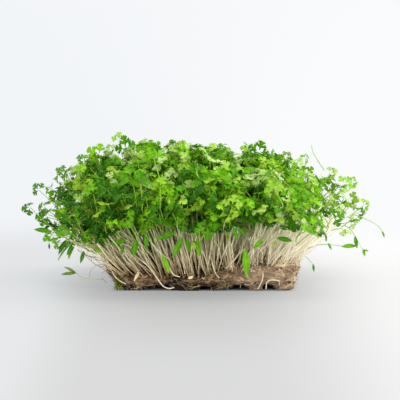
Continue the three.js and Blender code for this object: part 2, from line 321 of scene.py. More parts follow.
def remeshed_mat():
    """The slab and its root crowns, grown together into one fine mesh."""
    bm = bmesh.new()
    bm.from_mesh(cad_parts["root_mat"].data)
    bmesh.ops.remove_doubles(bm, verts=bm.verts, dist=MAT_WELD)
    for name in sheaf_names():
        middle = sheaf_root(name) + UP * (ROOT_CROWN_DEPTH / 2)
        bmesh.ops.create_cone(
            bm, cap_ends=True, segments=ROOT_CROWN_SIDES, radius1=ROOT_CROWN_RADIUS,
            radius2=ROOT_CROWN_RADIUS, depth=ROOT_CROWN_DEPTH + ROOT_CROWN_OVERLAP,
            matrix=Matrix.Translation(middle))
    solid = object_of("mat_solid", mesh_of(bm, "mat_solid"))
    remesh = solid.modifiers.new("grown_together", "REMESH")
    remesh.mode = "VOXEL"
    remesh.voxel_size = MAT_VOXEL
    bpy.context.view_layer.update()
    evaluated = solid.evaluated_get(bpy.context.evaluated_depsgraph_get())
    bm = bmesh_of(bpy.data.meshes.new_from_object(evaluated))
    bpy.data.objects.remove(solid)
    return bm


def make_mat():
    """The mat, broken up into lumps and crumbs, and a tree that finds places on it."""
    bm = remeshed_mat()
    for _ in range(MAT_SMOOTHINGS):
        bmesh.ops.smooth_vert(
            bm, verts=bm.verts, factor=MAT_SMOOTHING, use_axis_x=True, use_axis_y=True, use_axis_z=True)
    bm.normal_update()
    # The tone of each place: lower in the dips between lumps, partly the mat's own colour and partly painted
    # shade; painted shade also darkens the underside and the hollows.
    crumb_and_shade = bm.verts.layers.float.new("crumb_and_shade")
    heights = sum(height for _, height in MAT_LUMPS)
    for vert in bm.verts:
        spot = Vector((vert.co.x / MAT_FLAT_SIDE, vert.co.y / MAT_FLAT_SIDE, vert.co.z))
        lump = sum(height * noise.noise(spot / size) for size, height in MAT_LUMPS)
        dug = hollow_share(vert.co)
        # painted shade: faces that point down are darkened
        vert[crumb_and_shade] = lump / heights - UNDERSIDE_PAINTED_SHADE * max(0, -vert.normal.z)
        # painted shade: the hollows under the front edge are darkened
        vert[crumb_and_shade] += FUZZY_PALE * patch_share(vert.co) - HOLLOW_PAINTED_SHADE * dug
        vert.co += vert.normal * (lump - MAT_LUMPS_SINK)
        vert.co.x = pinched(vert.co)
        vert.co.y += HOLLOW_DEPTH * dug
        vert.co.z = max(vert.co.z, 0)
    bm.normal_update()
    tree = BVHTree.FromBMesh(bm)
    mat = object_of("root_mat_grown", mesh_of(bm, "root_mat_grown"))
    mat.data.shade_smooth()
    return mat, tree


def dropped(tree, x, y):
    """Where a place comes down on the mat, and the mat's normal there."""
    place, normal, _, _ = tree.ray_cast(Vector((x, y, OUTSIDE_BLOCK)), -UP)
    return place, normal


# Leaves. A blade is half an outline, from its foot to its tip: out and along, as shares of its length.
LEAFLET_EDGE = (
    (0.025, 0.0), (0.07, 0.23), (0.25, 0.29), (0.42, 0.36), (0.56, 0.51), (0.43, 0.54), (0.42, 0.68),
    (0.26, 0.59), (0.11, 0.50), (0.20, 0.66), (0.37, 0.79), (0.24, 0.82), (0.22, 0.95), (0.10, 0.90))
SEED_LEAF_EDGE = ((0.03, 0.0), (0.12, 0.18), (0.18, 0.42), (0.155, 0.66), (0.07, 0.88))
RIB_STEPS = 2
RIB_WELD = 1e-4
BLADE_THICKNESS = 0.022
BLADE_WAVES = 9
UNDERSIDE_TONE = 0.2
LEAFLET_GAP = 0.16  # bare stalk from the leaf's middle to each leaflet, as a share of a leaflet
SIDE_LEAFLET = 0.86
LEAFLET_TURNS = (0, math.radians(72), math.radians(-72))


def blade(edge, fold, droop, wave):
    """Thin closed blade of length 1 along +Y, facing up: folded along its rib, drooping to its tip, waved."""
    bm = bmesh.new()
    rim = [bm.verts.new((out, ahead, 0)) for out, ahead in edge]
    rib = [bm.verts.new((0, 1 - step / RIB_STEPS, 0)) for step in range(RIB_STEPS + 1)]
    half = bm.faces.new(rim + rib)
    half.normal_update()
    bmesh.ops.triangulate(bm, faces=[half], ngon_method="BEAUTY")
    bmesh.ops.mirror(bm, geom=bm.verts[:] + bm.edges[:] + bm.faces[:], axis="X", merge_dist=RIB_WELD)
    bmesh.ops.recalc_face_normals(bm, faces=bm.faces)
    bmesh.ops.solidify(bm, geom=bm.faces[:], thickness=BLADE_THICKNESS)
    bmesh.ops.recalc_face_normals(bm, faces=bm.faces)
    middle = sum(vert.co.z for vert in bm.verts) / len(bm.verts)
    veins = bm.loops.layers.uv.new("veins")
    tone = bm.verts.layers.float.new("tone")
    for face in bm.faces:
        for loop in face.loops:
            loop[veins].uv = (0.5 + loop.vert.co.x, loop.vert.co.y)
    for vert in bm.verts:
        vert[tone] = UNDERSIDE_TONE if vert.co.z < middle else 0
        x, y, _ = vert.co
        vert.co.z += fold * abs(x) - droop * y * y + wave * abs(x) * math.sin(BLADE_WAVES * y)
    return mesh_of(bm, "blade")


def new_leafy():
    """Empty mesh for leaves: every vertex has a tone, and every blade knows where its veins run."""
    bm = bmesh.new()
    bm.verts.layers.float.new("tone")
    bm.loops.layers.uv.new("veins")
    return bm


def added(bm, mesh):
    """Adds a mesh and gives back its vertices."""
    start = len(bm.verts)
    bm.from_mesh(mesh)
    bm.verts.ensure_lookup_table()
    return bm.verts[start:]


def stamp(bm, shape, place, tone=0):
    """Adds a copy of a shape at a place, with its own tone."""
    verts = added(bm, shape)
    bmesh.ops.transform(bm, matrix=place, verts=verts)
    layer = bm.verts.layers.float["tone"]
    for vert in verts:
        vert[layer] += tone


def three_part_leaf(fold, droop, wave, sag):
    """Three lobed leaflets about the end of the stalk, with the end leaflet along +Y, of length 1."""
    leaflet = blade(LEAFLET_EDGE, fold, droop, wave)
    bm = bmesh.new()
    for turn in LEAFLET_TURNS:
        size = SIDE_LEAFLET if turn else 1
        place = Matrix.Rotation(turn, 4, "Z") @ Matrix.Rotation(-sag if turn else -sag / 2, 4, "X")
        stamp(bm, leaflet, place @ Matrix.Translation((0, LEAFLET_GAP, 0)) @ Matrix.Scale(size, 4))
    bpy.data.meshes.remove(leaflet)
    return mesh_of(bm, "three_part_leaf")


def leaf_frame(place, forward, face, size, width=1):
    """Puts a leaf's foot at a place, its +Y forward and its upper side to face."""
    right = forward.cross(face).normalized()
    ahead = face.cross(right)
    turn = Matrix((right, ahead, face)).transposed().to_4x4()
    return Matrix.Translation(place) @ turn @ Matrix.Diagonal((size * width, size, size, 1))


# Seedlings: where they stand
FEET_PITCH = 3.0 * MM
FEET_JITTER = (0.4, 0.4)  # along X and Y, as shares of the pitch
FOOT_LOWEST = 6 * MM
FOOT_LEAST_UP = 0.3
FOOT_SINK = 1 * MM
CLUMP_PITCH = 10.5 * MM
CLUMP_JITTER = (0.25, 0.2)
CLUMP_START = 0.3
CLUMP_PULL = 0.5
FRONT_FEET_TO = 8 * MM
FRONT_FEET_INSET = 6 * MM
FRONT_FEET_HEIGHTS = (0.6, 1)
FRONT_FEET_LOWEST = 3 * MM
FRONT_FEET_PITCH = (1.6 * MM, 4 * MM)


def staggered(pitch, jitter, start=0):
    """Places in staggered rows over the whole mat, each moved a little at random."""
    places = []
    for row in range(math.ceil((mat_high.y - mat_low.y) / pitch)):
        for column in range(math.ceil((mat_high.x - mat_low.x) / pitch)):
            x = mat_low.x + (column + 0.5 * (row % 2) + around(jitter[0])) * pitch
            y = mat_low.y + (row + start + around(jitter[1])) * pitch
            places.append(Vector((x, y)))
    return places


def seedling_feet(tree):
    """Places where seedlings stand on the mat, drawn together into clumps."""
    clumps = staggered(CLUMP_PITCH, CLUMP_JITTER, CLUMP_START)
    feet = []
    for spot in staggered(FEET_PITCH, FEET_JITTER):
        clump = min(clumps, key=lambda middle: (middle - spot).length)
        place, normal = dropped(tree, *spot.lerp(clump, CLUMP_PULL))
        if place and place.z > FOOT_LOWEST and normal.z > FOOT_LEAST_UP:
            feet.append(place)
    return feet


def front_feet(tree):
    """Places on the torn front edge, where stems come out lower down."""
    feet = []
    x = mat_low.x + FRONT_FEET_INSET
    while x < FRONT_FEET_TO:
        top, _ = dropped(tree, x, mat_low.y + FRONT_FEET_INSET)
        height = top.z * chance.uniform(*FRONT_FEET_HEIGHTS) if top else 0
        place, _, _, _ = tree.ray_cast(Vector((x, -OUTSIDE_BLOCK, height)), BACKWARD)
        if place and place.z > FRONT_FEET_LOWEST:
            feet.append(place)
        x += chance.uniform(*FRONT_FEET_PITCH)
    return feet


# The canopy that their leaves make
CANOPY_MARGIN = 15 * MM  # from the ends of most stalks to the outermost leaf at the front and back
LEAN = bent_line((
    (-58, -31), (-40, -25), (-25, -19), (-10, -11), (5, -4.5), (20, 3), (35, 11), (48, 21), (58, 30)))
TOP_LINE = bent_line((
    (-105, 48), (-90, 58), (-75, 66), (-60, 70), (-45, 73), (-20, 74), (5, 75), (20, 69), (35, 72),
    (50, 67), (62, 61), (75, 55), (90, 44), (105, 36)))
FRONT_DROP = 32 * MM
CANOPY_UNDER = (45 * MM, 25 * MM)  # in the middle and at the rim
UNDER_LIFT = bent_line((
    (-105, 0), (-80, 0), (-62, 4), (-45, 6), (-30, 5), (15, 4), (35, 9), (105, 9)))
AIRY_FROM = (-46 * MM, 31 * MM)
AIRY_REACH = 40 * MM
TIP_SPREAD = (6.5 * MM, 5 * MM)
TIP_ABOVE_UNDER = 3 * MM
TOP_SPREAD = 4 * MM
DEEP_POWER = 2.4  # the higher, the more leaves are near the top


def rim_share(place):
    """How far out a place lies on the canopy: 0 in the middle and 1 at the outline."""
    return min(1, math.hypot(place.x / cad_high.x, place.y / cad_high.y))


def canopy_top(place):
    return along(TOP_LINE, place.x) - FRONT_DROP * (place.y / cad_high.y)**2


def canopy_under(place):
    return between(CANOPY_UNDER, rim_share(place)**2) + along(UNDER_LIFT, place.x)


def airiness(place):
    """How thinly leaves stand: 0 over most of the block and 1 at its ends."""
    left, right = AIRY_FROM
    past = place.x - right if place.x > 0 else left - place.x
    return clamped(past / AIRY_REACH)


def grown_tip(foot):
    """End of the main leaf's stalk of a seedling: most are near the top of the canopy."""
    spread_y = (cad_high.y - CANOPY_MARGIN) / mat_high.y
    tip = Vector((foot.x + along(LEAN, foot.x), foot.y * spread_y, 0))
    aside, ahead = (chance.gauss(0, spread) for spread in TIP_SPREAD)
    tip += Vector((aside, ahead, 0))
    deep = chance.random()**(DEEP_POWER - airiness(tip))
    under = canopy_under(tip) + TIP_ABOVE_UNDER
    uneven = min(TOP_SPREAD, chance.gauss(0, TOP_SPREAD))
    tip.z = max(under, between((canopy_top(tip), under), deep) + uneven)
    return tip


# How a seedling grows
STEM_BEND = bent_line(
    ((-58, 0.5), (-20, 0.46), (10, 0.36), (25, 0.28), (40, 0.3), (52, 0.45)), unit=1)
STEM_BEND_HEIGHT = 0.52
STEM_BEND_SPREAD = 7 * MM
STEM_KNOTS = 9
STEM_KNOTS_POWER = 1.3  # knots stand closer at the foot
STEM_RADIUS = (0.25 * MM, 0.40 * MM)
STEM_TAPER = 0.8
NECK_RISE = 1 * MM
NECK_SPREAD = 6 * MM
NECK_SHARES = (0.35, 0.85)
NECK_PIECE = 0.1
HOOK = (1 * MM, 5 * MM)
HOOK_FADE = 7
WOBBLE = 1.3 * MM
WOBBLE_WAVES = 9
WOBBLE_GROWTH = 3
STALK_KNOTS = 6
STALK_RADIUS = (0.30 * MM, 0.18 * MM)
STALK_BOW = 0.5
MAIN_LOSS = (0.6, 0.65)  # how many lose their main leaf at the thin left and right ends
MAIN_SHRINK = 0.15
SIDE_STALKS = ((0.9, 0.75), (0.4, 0.4))  # how likely each is, and how much less so at the thin ends
SIDE_REACH = (0.6, 1.05)
SIDE_TURN = (0.4, 1.5)
SIDE_SPREAD = 5 * MM
SIDE_RISE = 4 * MM
SIDE_UNDER = 2 * MM
SIDE_SIZE = (0.55, 0.9)


class Seedling:
    """Where one seedling's foot, neck and leaves are."""

    def __init__(self, foot, tip=None):
        self.foot = foot - UP * FOOT_SINK
        self.lone = tip is not None
        self.tip = tip or grown_tip(foot)
        rise = self.tip.z - foot.z
        self.outward = Vector((foot.x / mat_high.x, foot.y / mat_high.y, 0))
        self.bend = foot.lerp(self.tip, along(STEM_BEND, foot.x))
        self.bend.z = foot.z + rise * STEM_BEND_HEIGHT
        self.bend += strew(STEM_BEND_SPREAD)
        self.hook = self.outward * -chance.uniform(*HOOK)
        self.wobble = strew(WOBBLE)
        self.phase = chance.uniform(0, math.tau)
        neck_height = canopy_under(self.tip) + NECK_RISE - foot.z + around(NECK_SPREAD)
        self.neck_share = clamped(neck_height / rise, *NECK_SHARES)
        self.neck = self.at(self.neck_share)

    def at(self, share):
        sway = self.wobble * math.sin(self.phase + WOBBLE_WAVES * share) * min(1, WOBBLE_GROWTH * share)
        return arc(self.foot, self.bend, self.tip, share) + self.hook * (1 - share)**HOOK_FADE + sway

    def stem(self):
        shares = [(knot / (STEM_KNOTS - 1))**STEM_KNOTS_POWER for knot in range(STEM_KNOTS)]
        radius = chance.uniform(*STEM_RADIUS)
        return tapering([self.at(self.neck_share * share) for share in shares], radius, radius * STEM_TAPER)

    def stalk_ends(self):
        """The main leaf goes on in line with the stem, and most seedlings have one or two smaller ones."""
        airy = airiness(self.tip)
        left, right = MAIN_LOSS
        main_loss = right if self.tip.x > 0 else left
        ends = []
        if self.lone or chance.random() > main_loss * airy:
            ends.append((self.tip, 1 - MAIN_SHRINK * airy))
        for likely, loss in SIDE_STALKS:
            if chance.random() < likely - loss * airy:
                reach = (self.tip - self.neck) * chance.uniform(*SIDE_REACH)
                turn = chance.choice((-1, 1)) * chance.uniform(*SIDE_TURN)
                end = self.neck + Matrix.Rotation(turn, 3, "Z") @ reach + strew(SIDE_SPREAD)
                end.z = max(end.z, self.neck.z + SIDE_RISE, canopy_under(end) - SIDE_UNDER)
                ends.append((end, chance.uniform(*SIDE_SIZE)))
        return ends

    def stalk_run(self, end):
        lean = (self.neck - self.at(self.neck_share - NECK_PIECE)).normalized()
        middle = self.neck + lean * (end - self.neck).length * STALK_BOW
        return tapering(arched(self.neck, middle, end, STALK_KNOTS), *STALK_RADIUS)


# How its leaves are turned: shares of up, outward and chance in the way that a leaf faces and points
LEAFLET_LENGTH = (4.4 * MM, 7.8 * MM)
LEAF_FACES_UP = 0.75
LEAF_FACES_OUT = 0.7
LEAF_FACES_LOOSE = 0.75
LONE_FACES_LOOSE = 0.5
LEAF_POINTS_OUT = 0.5
LEAF_POINTS_LOOSE = 0.6
LEAF_POINTS_DOWN = 0.3
SEED_LEAF_LENGTH = (9 * MM, 14 * MM)
SEED_LEAF_POINTS_OUT = 0.7
SEED_LEAF_POINTS_DOWN = (-0.2, 1.6)
SEED_LEAF_FACES_ASIDE = 0.5
SEED_LEAF_FACES_OUT = 0.6
SEED_LEAF_FACES_LOOSE = 0.4
SEED_LEAF_TURN = 0.4
SEED_LEAF_TONES = (0.25, 0.8)
SEED_LEAVES_KEPT = 0.45
RIM_SEED_LEAVES_KEPT = 0.05  # those in plain sight at the front are placed one by one
RIM_FROM = 0.72


def leaf_place(seedling, end, size):
    away = (end - seedling.neck).normalized()
    face = UP * LEAF_FACES_UP + seedling.outward * LEAF_FACES_OUT + strew(LEAF_FACES_LOOSE)
    if seedling.lone:
        face = face * LONE_FACES_LOOSE - VIEW_AHEAD
    face.normalize()
    forward = away + seedling.outward * LEAF_POINTS_OUT + strew(LEAF_POINTS_LOOSE) - UP * LEAF_POINTS_DOWN
    return leaf_frame(end, forward, face, chance.uniform(*LEAFLET_LENGTH) * size)


def seed_leaf_place(seedling, turn):
    level = Vector((math.cos(turn), math.sin(turn), 0))
    down = UP * chance.uniform(*SEED_LEAF_POINTS_DOWN)
    forward = level + seedling.outward * SEED_LEAF_POINTS_OUT - down
    face = UP + level * SEED_LEAF_FACES_ASIDE + seedling.outward * SEED_LEAF_FACES_OUT
    face = (face + strew(SEED_LEAF_FACES_LOOSE)).normalized()
    return leaf_frame(seedling.neck, forward, face, chance.uniform(*SEED_LEAF_LENGTH))


def seed_leaf_chance(outward):
    if outward.y < -RIM_FROM:
        return 0
    return RIM_SEED_LEAVES_KEPT if max(abs(outward.x), outward.y) > RIM_FROM else SEED_LEAVES_KEPT


# Tones of leaves, from 0 for dark green to 1 for pale
SUNNY_END_TONE = 0.36
SUNNY_FROM = 25 * MM
SUNNY_REACH = 45 * MM
LONE_TONE = 0.32
LEAF_HEIGHTS = (30 * MM, 75 * MM)
# painted shade and light: low leaves darker and high ones paler
HEIGHT_PAINTED_LIGHT_AND_SHADE = (-0.36, 0.24)
TONE_POWER = 1.35
STALK_MARK = 2  # a tone past every leaf's, which the finish paints as a stalk


def leaf_tone(place):
    """Most leaves are mid green; painted shade makes low ones darker, and painted light makes high ones and
    those at the sunny right end paler.
    """
    sunny = SUNNY_END_TONE * clamped((place.x - SUNNY_FROM) / SUNNY_REACH)
    lit = between(HEIGHT_PAINTED_LIGHT_AND_SHADE, share_of(place.z, *LEAF_HEIGHTS))
    return clamped(chance.random()**TONE_POWER + sunny + lit)


def add_stalks(bm, runs):
    stalks = tubes("stalks", runs)
    verts = added(bm, stalks)
    tone = bm.verts.layers.float["tone"]
    for vert in verts:
        vert[tone] = STALK_MARK
    bpy.data.meshes.remove(stalks)


def leaf_bunch(seedlings, leaves, seed_leaves):
    bm = new_leafy()
    runs = []
    for seedling in seedlings:
        for end, size in seedling.stalk_ends():
            runs.append(seedling.stalk_run(end))
            tone = max(leaf_tone(end), LONE_TONE if seedling.lone else 0)
            stamp(bm, chance.choice(leaves), leaf_place(seedling, end, size), tone)
        turn = chance.uniform(0, math.tau)
        likely = seed_leaf_chance(seedling.outward)
        for side in (0, math.pi):
            place = seed_leaf_place(seedling, turn + side + around(SEED_LEAF_TURN))
            if chance.random() < likely:
                stamp(bm, chance.choice(seed_leaves), place, chance.uniform(*SEED_LEAF_TONES))
    add_stalks(bm, runs)
    return bm


# Seedlings that stand clear of the rest or in plain sight: the foot on the mat in millimetres, then the pixel
# and depth of the end of the main stalk
LONE_SPRAYS = (
    ((-54, -12), (39, 190, -14)),
    ((-53, -20), (30, 207, -22)),
    ((-54, 5), (44, 207, 8)),
    ((-53, -6), (45, 217, -10)),
    ((-52, 16), (63, 171, 10)),
    ((-46, 8), (84, 160, 4)),
    ((-38, 0), (99, 155, 0)),
    ((-30, 2), (111, 151, -4)),
    ((-24, 0), (126, 149, -2)),
    ((49, -10), (352, 181, -8)),
    ((50, 6), (364, 205, 4)),
    ((51, 18), (345, 184, 16)),
    ((50, 10), (358, 212, 12)),
    ((49, 0), (306, 158, -2)),
    ((49, -4), (330, 173, -6)),
    ((48, -16), (350, 222, -20)),
    ((-52, -14), (64, 232, -20)),
    ((-51, -22), (72, 240, -30)),
    ((-54, 0), (58, 222, -4)),
    ((-49, -28), (83, 236, -36)),
    ((-53, 8), (66, 214, 6)),
    ((-52, -18), (60, 243, -24)),
    ((-54, -8), (56, 196, -10)),
    ((-48, -30), (76, 238, -38)),
    ((-46, -34), (89, 235, -46)),
    ((-26, -34), (158, 190, -60)),
    ((-20, -36), (155, 213, -64)),
    ((4, -36), (222, 180, -56)),
    ((8, -36), (212, 203, -62)),
    ((2, -38), (214, 221, -66)),
    ((26, -36), (262, 199, -58)),
    ((30, -38), (285, 222, -60)),
    ((-38, -34), (118, 186, -52)),
)


def lone_sprays(tree):
    made = []
    for (x, y), tip in LONE_SPRAYS:
        place, _ = dropped(tree, x * MM, y * MM)
        if place:
            made.append(Seedling(place, photo_spot(*tip)))
    return made


def make_sheaves(tree, leaves, seed_leaves):
    """All seedlings, in one piece of stems and one of leaves for each sheaf of the solid part."""
    names = sheaf_names()
    roots = {name: sheaf_root(name) for name in names}
    bunches = {name: [] for name in names}
    feet = seedling_feet(tree) + front_feet(tree)
    for seedling in [Seedling(foot) for foot in feet] + lone_sprays(tree):
        nearest = min(names, key=lambda name: (roots[name].xy - seedling.foot.xy).length)
        bunches[nearest].append(seedling)
    made = []
    for name, seedlings in bunches.items():
        stems = tube_piece("seedling_stems_" + name, [seedling.stem() for seedling in seedlings])
        foliage = blade_piece("seedling_leaves_" + name, leaf_bunch(seedlings, leaves, seed_leaves))
        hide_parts("stems_" + name)
        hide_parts("foliage_" + name)
        made.append((stems, foliage))
    return made


# Roots on the mat
THREAD_COUNT = 320
THREAD_KNOTS = 9
THREAD_STEP = 1.7 * MM
THREAD_RADIUS = (0.07 * MM, 0.17 * MM)
THREAD_TAPER = 0.5
THREAD_LIFT = (0.05 * MM, 0.55 * MM)
THREAD_LOWEST = 0.2 * MM
THREAD_WANDER = 0.55
THREAD_CLIMB = 0.6
THREADS_MOST_UP = 0.5
# Root hairs that hang off the left end, as pixel and depth
HANGING_ROOTS = (
    ((112, 263, -6), (98, 265, -8), (91, 270, -8), (89, 278.5, -8)),
    ((113, 268, -10), (102, 273, -12), (103, 279, -12), (107, 283, -12)),
    ((112, 267, -4), (99.5, 266, -6), (93, 263, -6), (91, 258, -6)),
)
HANGING_ROOT_RADIUS = (0.16 * MM, 0.1 * MM)


def side_spots(mat, most_up):
    """Places on the mat's sides, clear of its hollows."""
    return [vert for vert in mat.data.vertices if vert.normal.z < most_up and clear_of_hollows(vert.co)]


def root_thread(tree, start, heading):
    """A fine root that wanders over the mat's surface."""
    points = []
    place = start
    for _ in range(THREAD_KNOTS):
        spot, normal, _, _ = tree.find_nearest(place)
        spot = spot + normal * chance.uniform(*THREAD_LIFT)
        spot.z = max(spot.z, THREAD_LOWEST)
        points.append(spot)
        heading = heading + strew(THREAD_WANDER)
        heading = (heading - normal * heading.dot(normal)).normalized()
        place = spot + heading * THREAD_STEP
    radius = chance.uniform(*THREAD_RADIUS)
    return tapering(points, radius, radius * THREAD_TAPER)


def make_root_threads(mat, tree):
    spots = side_spots(mat, THREADS_MOST_UP)
    runs = []
    for _ in range(THREAD_COUNT):
        start = chance.choice(spots).co
        heading = Vector((around(1), around(1), around(THREAD_CLIMB)))
        runs.append(root_thread(tree, start, heading))
    for corners in HANGING_ROOTS:
        runs.append(tapering(photo_line(corners, HANGING_ROOT_RADIUS[0]), *HANGING_ROOT_RADIUS))
    return tube_piece("root_threads", runs, sides=4)


# Hairs on the mat
HAIR_SINK = 0.3 * MM
FUZZ_COUNT = 1700
FUZZ_LENGTH = (1.2 * MM, 3.4 * MM)
FUZZ_RADIUS = 0.09 * MM
FUZZ_TAPER = 0.6
FUZZ_MOST_UP = 0.6
FUZZ_OUTWARD = 0.6
FUZZ_BENT = 0.3 * MM
FRINGE_COUNT = 420
FRINGE_LENGTH = (2 * MM, 5.5 * MM)
FRINGE_RADIUS = (0.126 * MM, 0.09 * MM)
FRINGE_KNOTS = (0.4, 0.75)
FRINGE_FROM = 12 * MM
FRINGE_ABOVE = 10 * MM
FRINGE_EDGES = Vector((48, 34)) * MM
FRINGE_OUTWARD = 0.5
FRINGE_UPWARD = 0.2
FRINGE_BENT = 0.4 * MM
FRINGE_SAG = 0.25
FRINGE_SAG_SHARE = 0.4  # of its sag at the upper knot


def hair(spot, outward, upward, lengths):
    """Foot of a hair on the mat, and the way to its tip."""
    start = spot.co - spot.normal * HAIR_SINK
    lean = (Vector(spot.normal) * outward + strew(1) + UP * upward).normalized()
    return start, lean * chance.uniform(*lengths)


def make_fuzz(mat):
    """Short stiff fibres that stand off the mat's sides."""
    spots = side_spots(mat, FUZZ_MOST_UP)
    runs = []
    for _ in range(FUZZ_COUNT):
        start, lean = hair(chance.choice(spots), FUZZ_OUTWARD, 0, FUZZ_LENGTH)
        points = [start, start + lean / 2 + strew(FUZZ_BENT), start + lean]
        for point in points:
            point.z = max(point.z, FUZZ_RADIUS)
        runs.append(tapering(points, FUZZ_RADIUS, FUZZ_RADIUS * FUZZ_TAPER))
    return tube_piece("mat_fuzz", runs, sides=4)


def on_fringe(vert):
    """Whether a place is near the upper edges of the mat's thick end."""
    x, y, z = vert.co
    at_edge = abs(y) > FRINGE_EDGES.y or x > FRINGE_EDGES.x
    return at_edge and x > FRINGE_FROM and z > FRINGE_ABOVE and vert.normal.z > TOP_LEAST_UP


def make_fringe(mat):
    """Pale root hairs among the stems' feet on the thick end of the mat."""
    spots = [vert for vert in mat.data.vertices if on_fringe(vert)]
    runs = []
    for _ in range(FRINGE_COUNT):
        start, lean = hair(chance.choice(spots), FRINGE_OUTWARD, FRINGE_UPWARD, FRINGE_LENGTH)
        sag = UP * -FRINGE_SAG * lean.length
        lower, upper = (start + lean * share for share in FRINGE_KNOTS)
        points = [start, lower + strew(FRINGE_BENT), upper + sag * FRINGE_SAG_SHARE, start + lean + sag]
        runs.append(tapering(points, *FRINGE_RADIUS))
    return tube_piece("root_hair_fringe", runs, sides=4)


# Pale stems and roots that have come loose: a radius in millimetres, then the corners as pixel and depth
STRAY_STEMS = (
    (0.45, ((126, 246, -36), (137, 257, -45), (149, 267, -48), (157, 278, -49.5), (163, 286, -51),
            (169, 288.5, -51), (174, 287.5, -49))),
    (0.42, ((104, 250, -34), (108, 262, -40), (114, 275, -44), (120, 281, -47), (126, 284, -47))),
    (0.4, ((262, 270, -41), (263, 276, -45.5), (261, 283, -47), (258, 289, -47.5))),
    (0.36, ((266, 289, -47), (267, 282, -47.5), (272, 280, -47.5), (279, 281, -47.5), (279, 285, -46))),
    (0.42, ((160, 246, -38), (167, 262, -44), (173, 274, -46.5), (180, 277, -46))),
    (0.42, ((206, 240, -38), (211, 258, -44), (215, 272, -46.5), (219, 278, -46))),
    (0.42, ((177, 250, -40), (183, 264, -45), (185, 274, -46))),
    (0.4, ((244, 233, -46), (250, 241, -49), (257, 247, -49), (262, 252, -48), (262, 263, -44))),
    (0.38, ((226, 268.5, -45), (232, 262, -47.5), (238, 255, -46), (241, 246, -42))),
    (0.32, ((76, 273, 4), (83, 278.5, 4), (92, 281, 2), (106, 281, 0))),
)
STRAY_TAPER = 0.75


def make_stray_stems():
    runs = []
    for radius, corners in STRAY_STEMS:
        points = photo_line(corners, radius * MM)
        runs.append(tapering(points, radius * MM, radius * STRAY_TAPER * MM))
    return tube_piece("stray_stems", runs)


# Seed leaves in plain sight: the pixels of the foot and the tip, the depth, the tone, lowered by painted
# shade on those that hang in shade, and the width
HANGING_SEED_LEAVES = (
    ((162, 255), (168, 274), -60, 0.64, 0.9),
    ((244.5, 249), (246, 277), -58, 0.55, 0.75),
    ((183, 237), (172, 258), -61, 0.4, 0.8),
    ((187, 239), (191, 254), -60, 0.33, 0.9),
    ((197, 238), (199, 256), -60, 0.6, 0.9),
    ((192, 241), (196, 251), -62, 0.85, 0.9),
    ((176, 233), (156, 238), -62, 0.33, 0.9),
    ((145, 235), (147, 250), -60, 0.28, 0.9),
    ((136, 239), (133, 258), -60, 0.33, 0.9),
    ((126, 240), (110, 245), -56, 0.42, 0.9),
    ((124, 244), (121, 255), -56, 0.38, 0.9),
    ((263, 240), (251, 249), -59, 0.45, 0.9),
    ((277, 238), (293, 239.5), -59, 0.28, 0.9),
    ((233, 227), (238, 240), -62, 0.3, 0.9),
    ((238, 228), (247, 238), -61, 0.26, 0.9),
    ((91, 250), (104, 250), -54, 0.78, 0.9),
    ((84, 251), (80.5, 263), -36, 0.35, 0.9),
    ((66, 240), (58, 257), -40, 0.2, 0.7),
    ((75, 243), (67, 256), -44, 0.3, 0.8),
    ((51, 232), (35, 223.5), -16, 0.35, 0.9),
    ((275, 240), (274.5, 247), -57, 0.8, 0.9),
    ((356, 246), (342, 244.5), -14, 0.6, 0.9),
    ((355, 236), (357, 248), -14, 0.35, 0.9),
    ((363, 249), (365, 257), -14, 0.5, 0.9),
    ((363, 250), (368, 250), -14, 0.5, 0.9),
    ((328, 243), (332, 249), -14, 0.4, 0.9),
    ((382, 231), (385, 237), 8, 0.4, 0.9),
    ((313, 264), (314, 272), 20, 0.5, 0.9),
    ((49, 243.5), (49.7, 248.5), -16, 0.1, 0.9),
    ((76, 273), (60, 275.5), 4, 0.95, 0.62),
    ((76, 273), (65, 265.5), 4, 1.0, 0.62),
)
HANGING_ON_STRAYS = 10  # the last ones hang on stray stems and stalks, and the others on stems of their own
HANGING_FORWARD = 2  # millimetres by which their tips stand nearer
HANGING_FACE = (0.15, -1, 0.5)
HANGING_FACE_TURN = 0.3
HANGING_FACE_LOOSE = 0.2
HANGING_FOOT = 0.62  # their stems' feet on the mat, as a share of the way out to the leaf
FEET_WITHIN = Vector((47, 36)) * MM
HANGING_BEND = 0.35
HANGING_BEND_RISE = 4 * MM
HANGING_STEM_KNOTS = 7
HANGING_STEM_RADIUS = (0.42 * MM, 0.28 * MM)
# Thin green stalks that hang out of the block, as pixel and depth
DROOPING_STALKS = (
    ((344, 225, -12), (350, 229, -14), (355, 236, -14), (360, 245, -14), (365, 253, -14)),
    ((298, 254, -6), (314, 246, -10), (328, 244.5, -14), (342, 246, -14), (356, 246, -14)),
    ((352, 214, 2), (366, 219, 6), (377, 225, 8), (382, 231, 8)),
    ((296, 252, 14), (305, 256, 18), (313, 264, 20)),
    ((60, 226, -14), (53, 233, -16), (50, 238, -16), (49, 244, -16)),
    ((101, 216, -48), (110, 226, -60), (121, 234, -64), (131, 239.5, -62)),
    ((139, 248, -46), (145, 252.5, -54), (154, 253.7, -57)),
    ((324, 170, 8), (318, 161, 10), (313, 152, 10), (311.5, 145, 10)),
)
DROOPING_RADIUS = (0.26 * MM, 0.14 * MM)
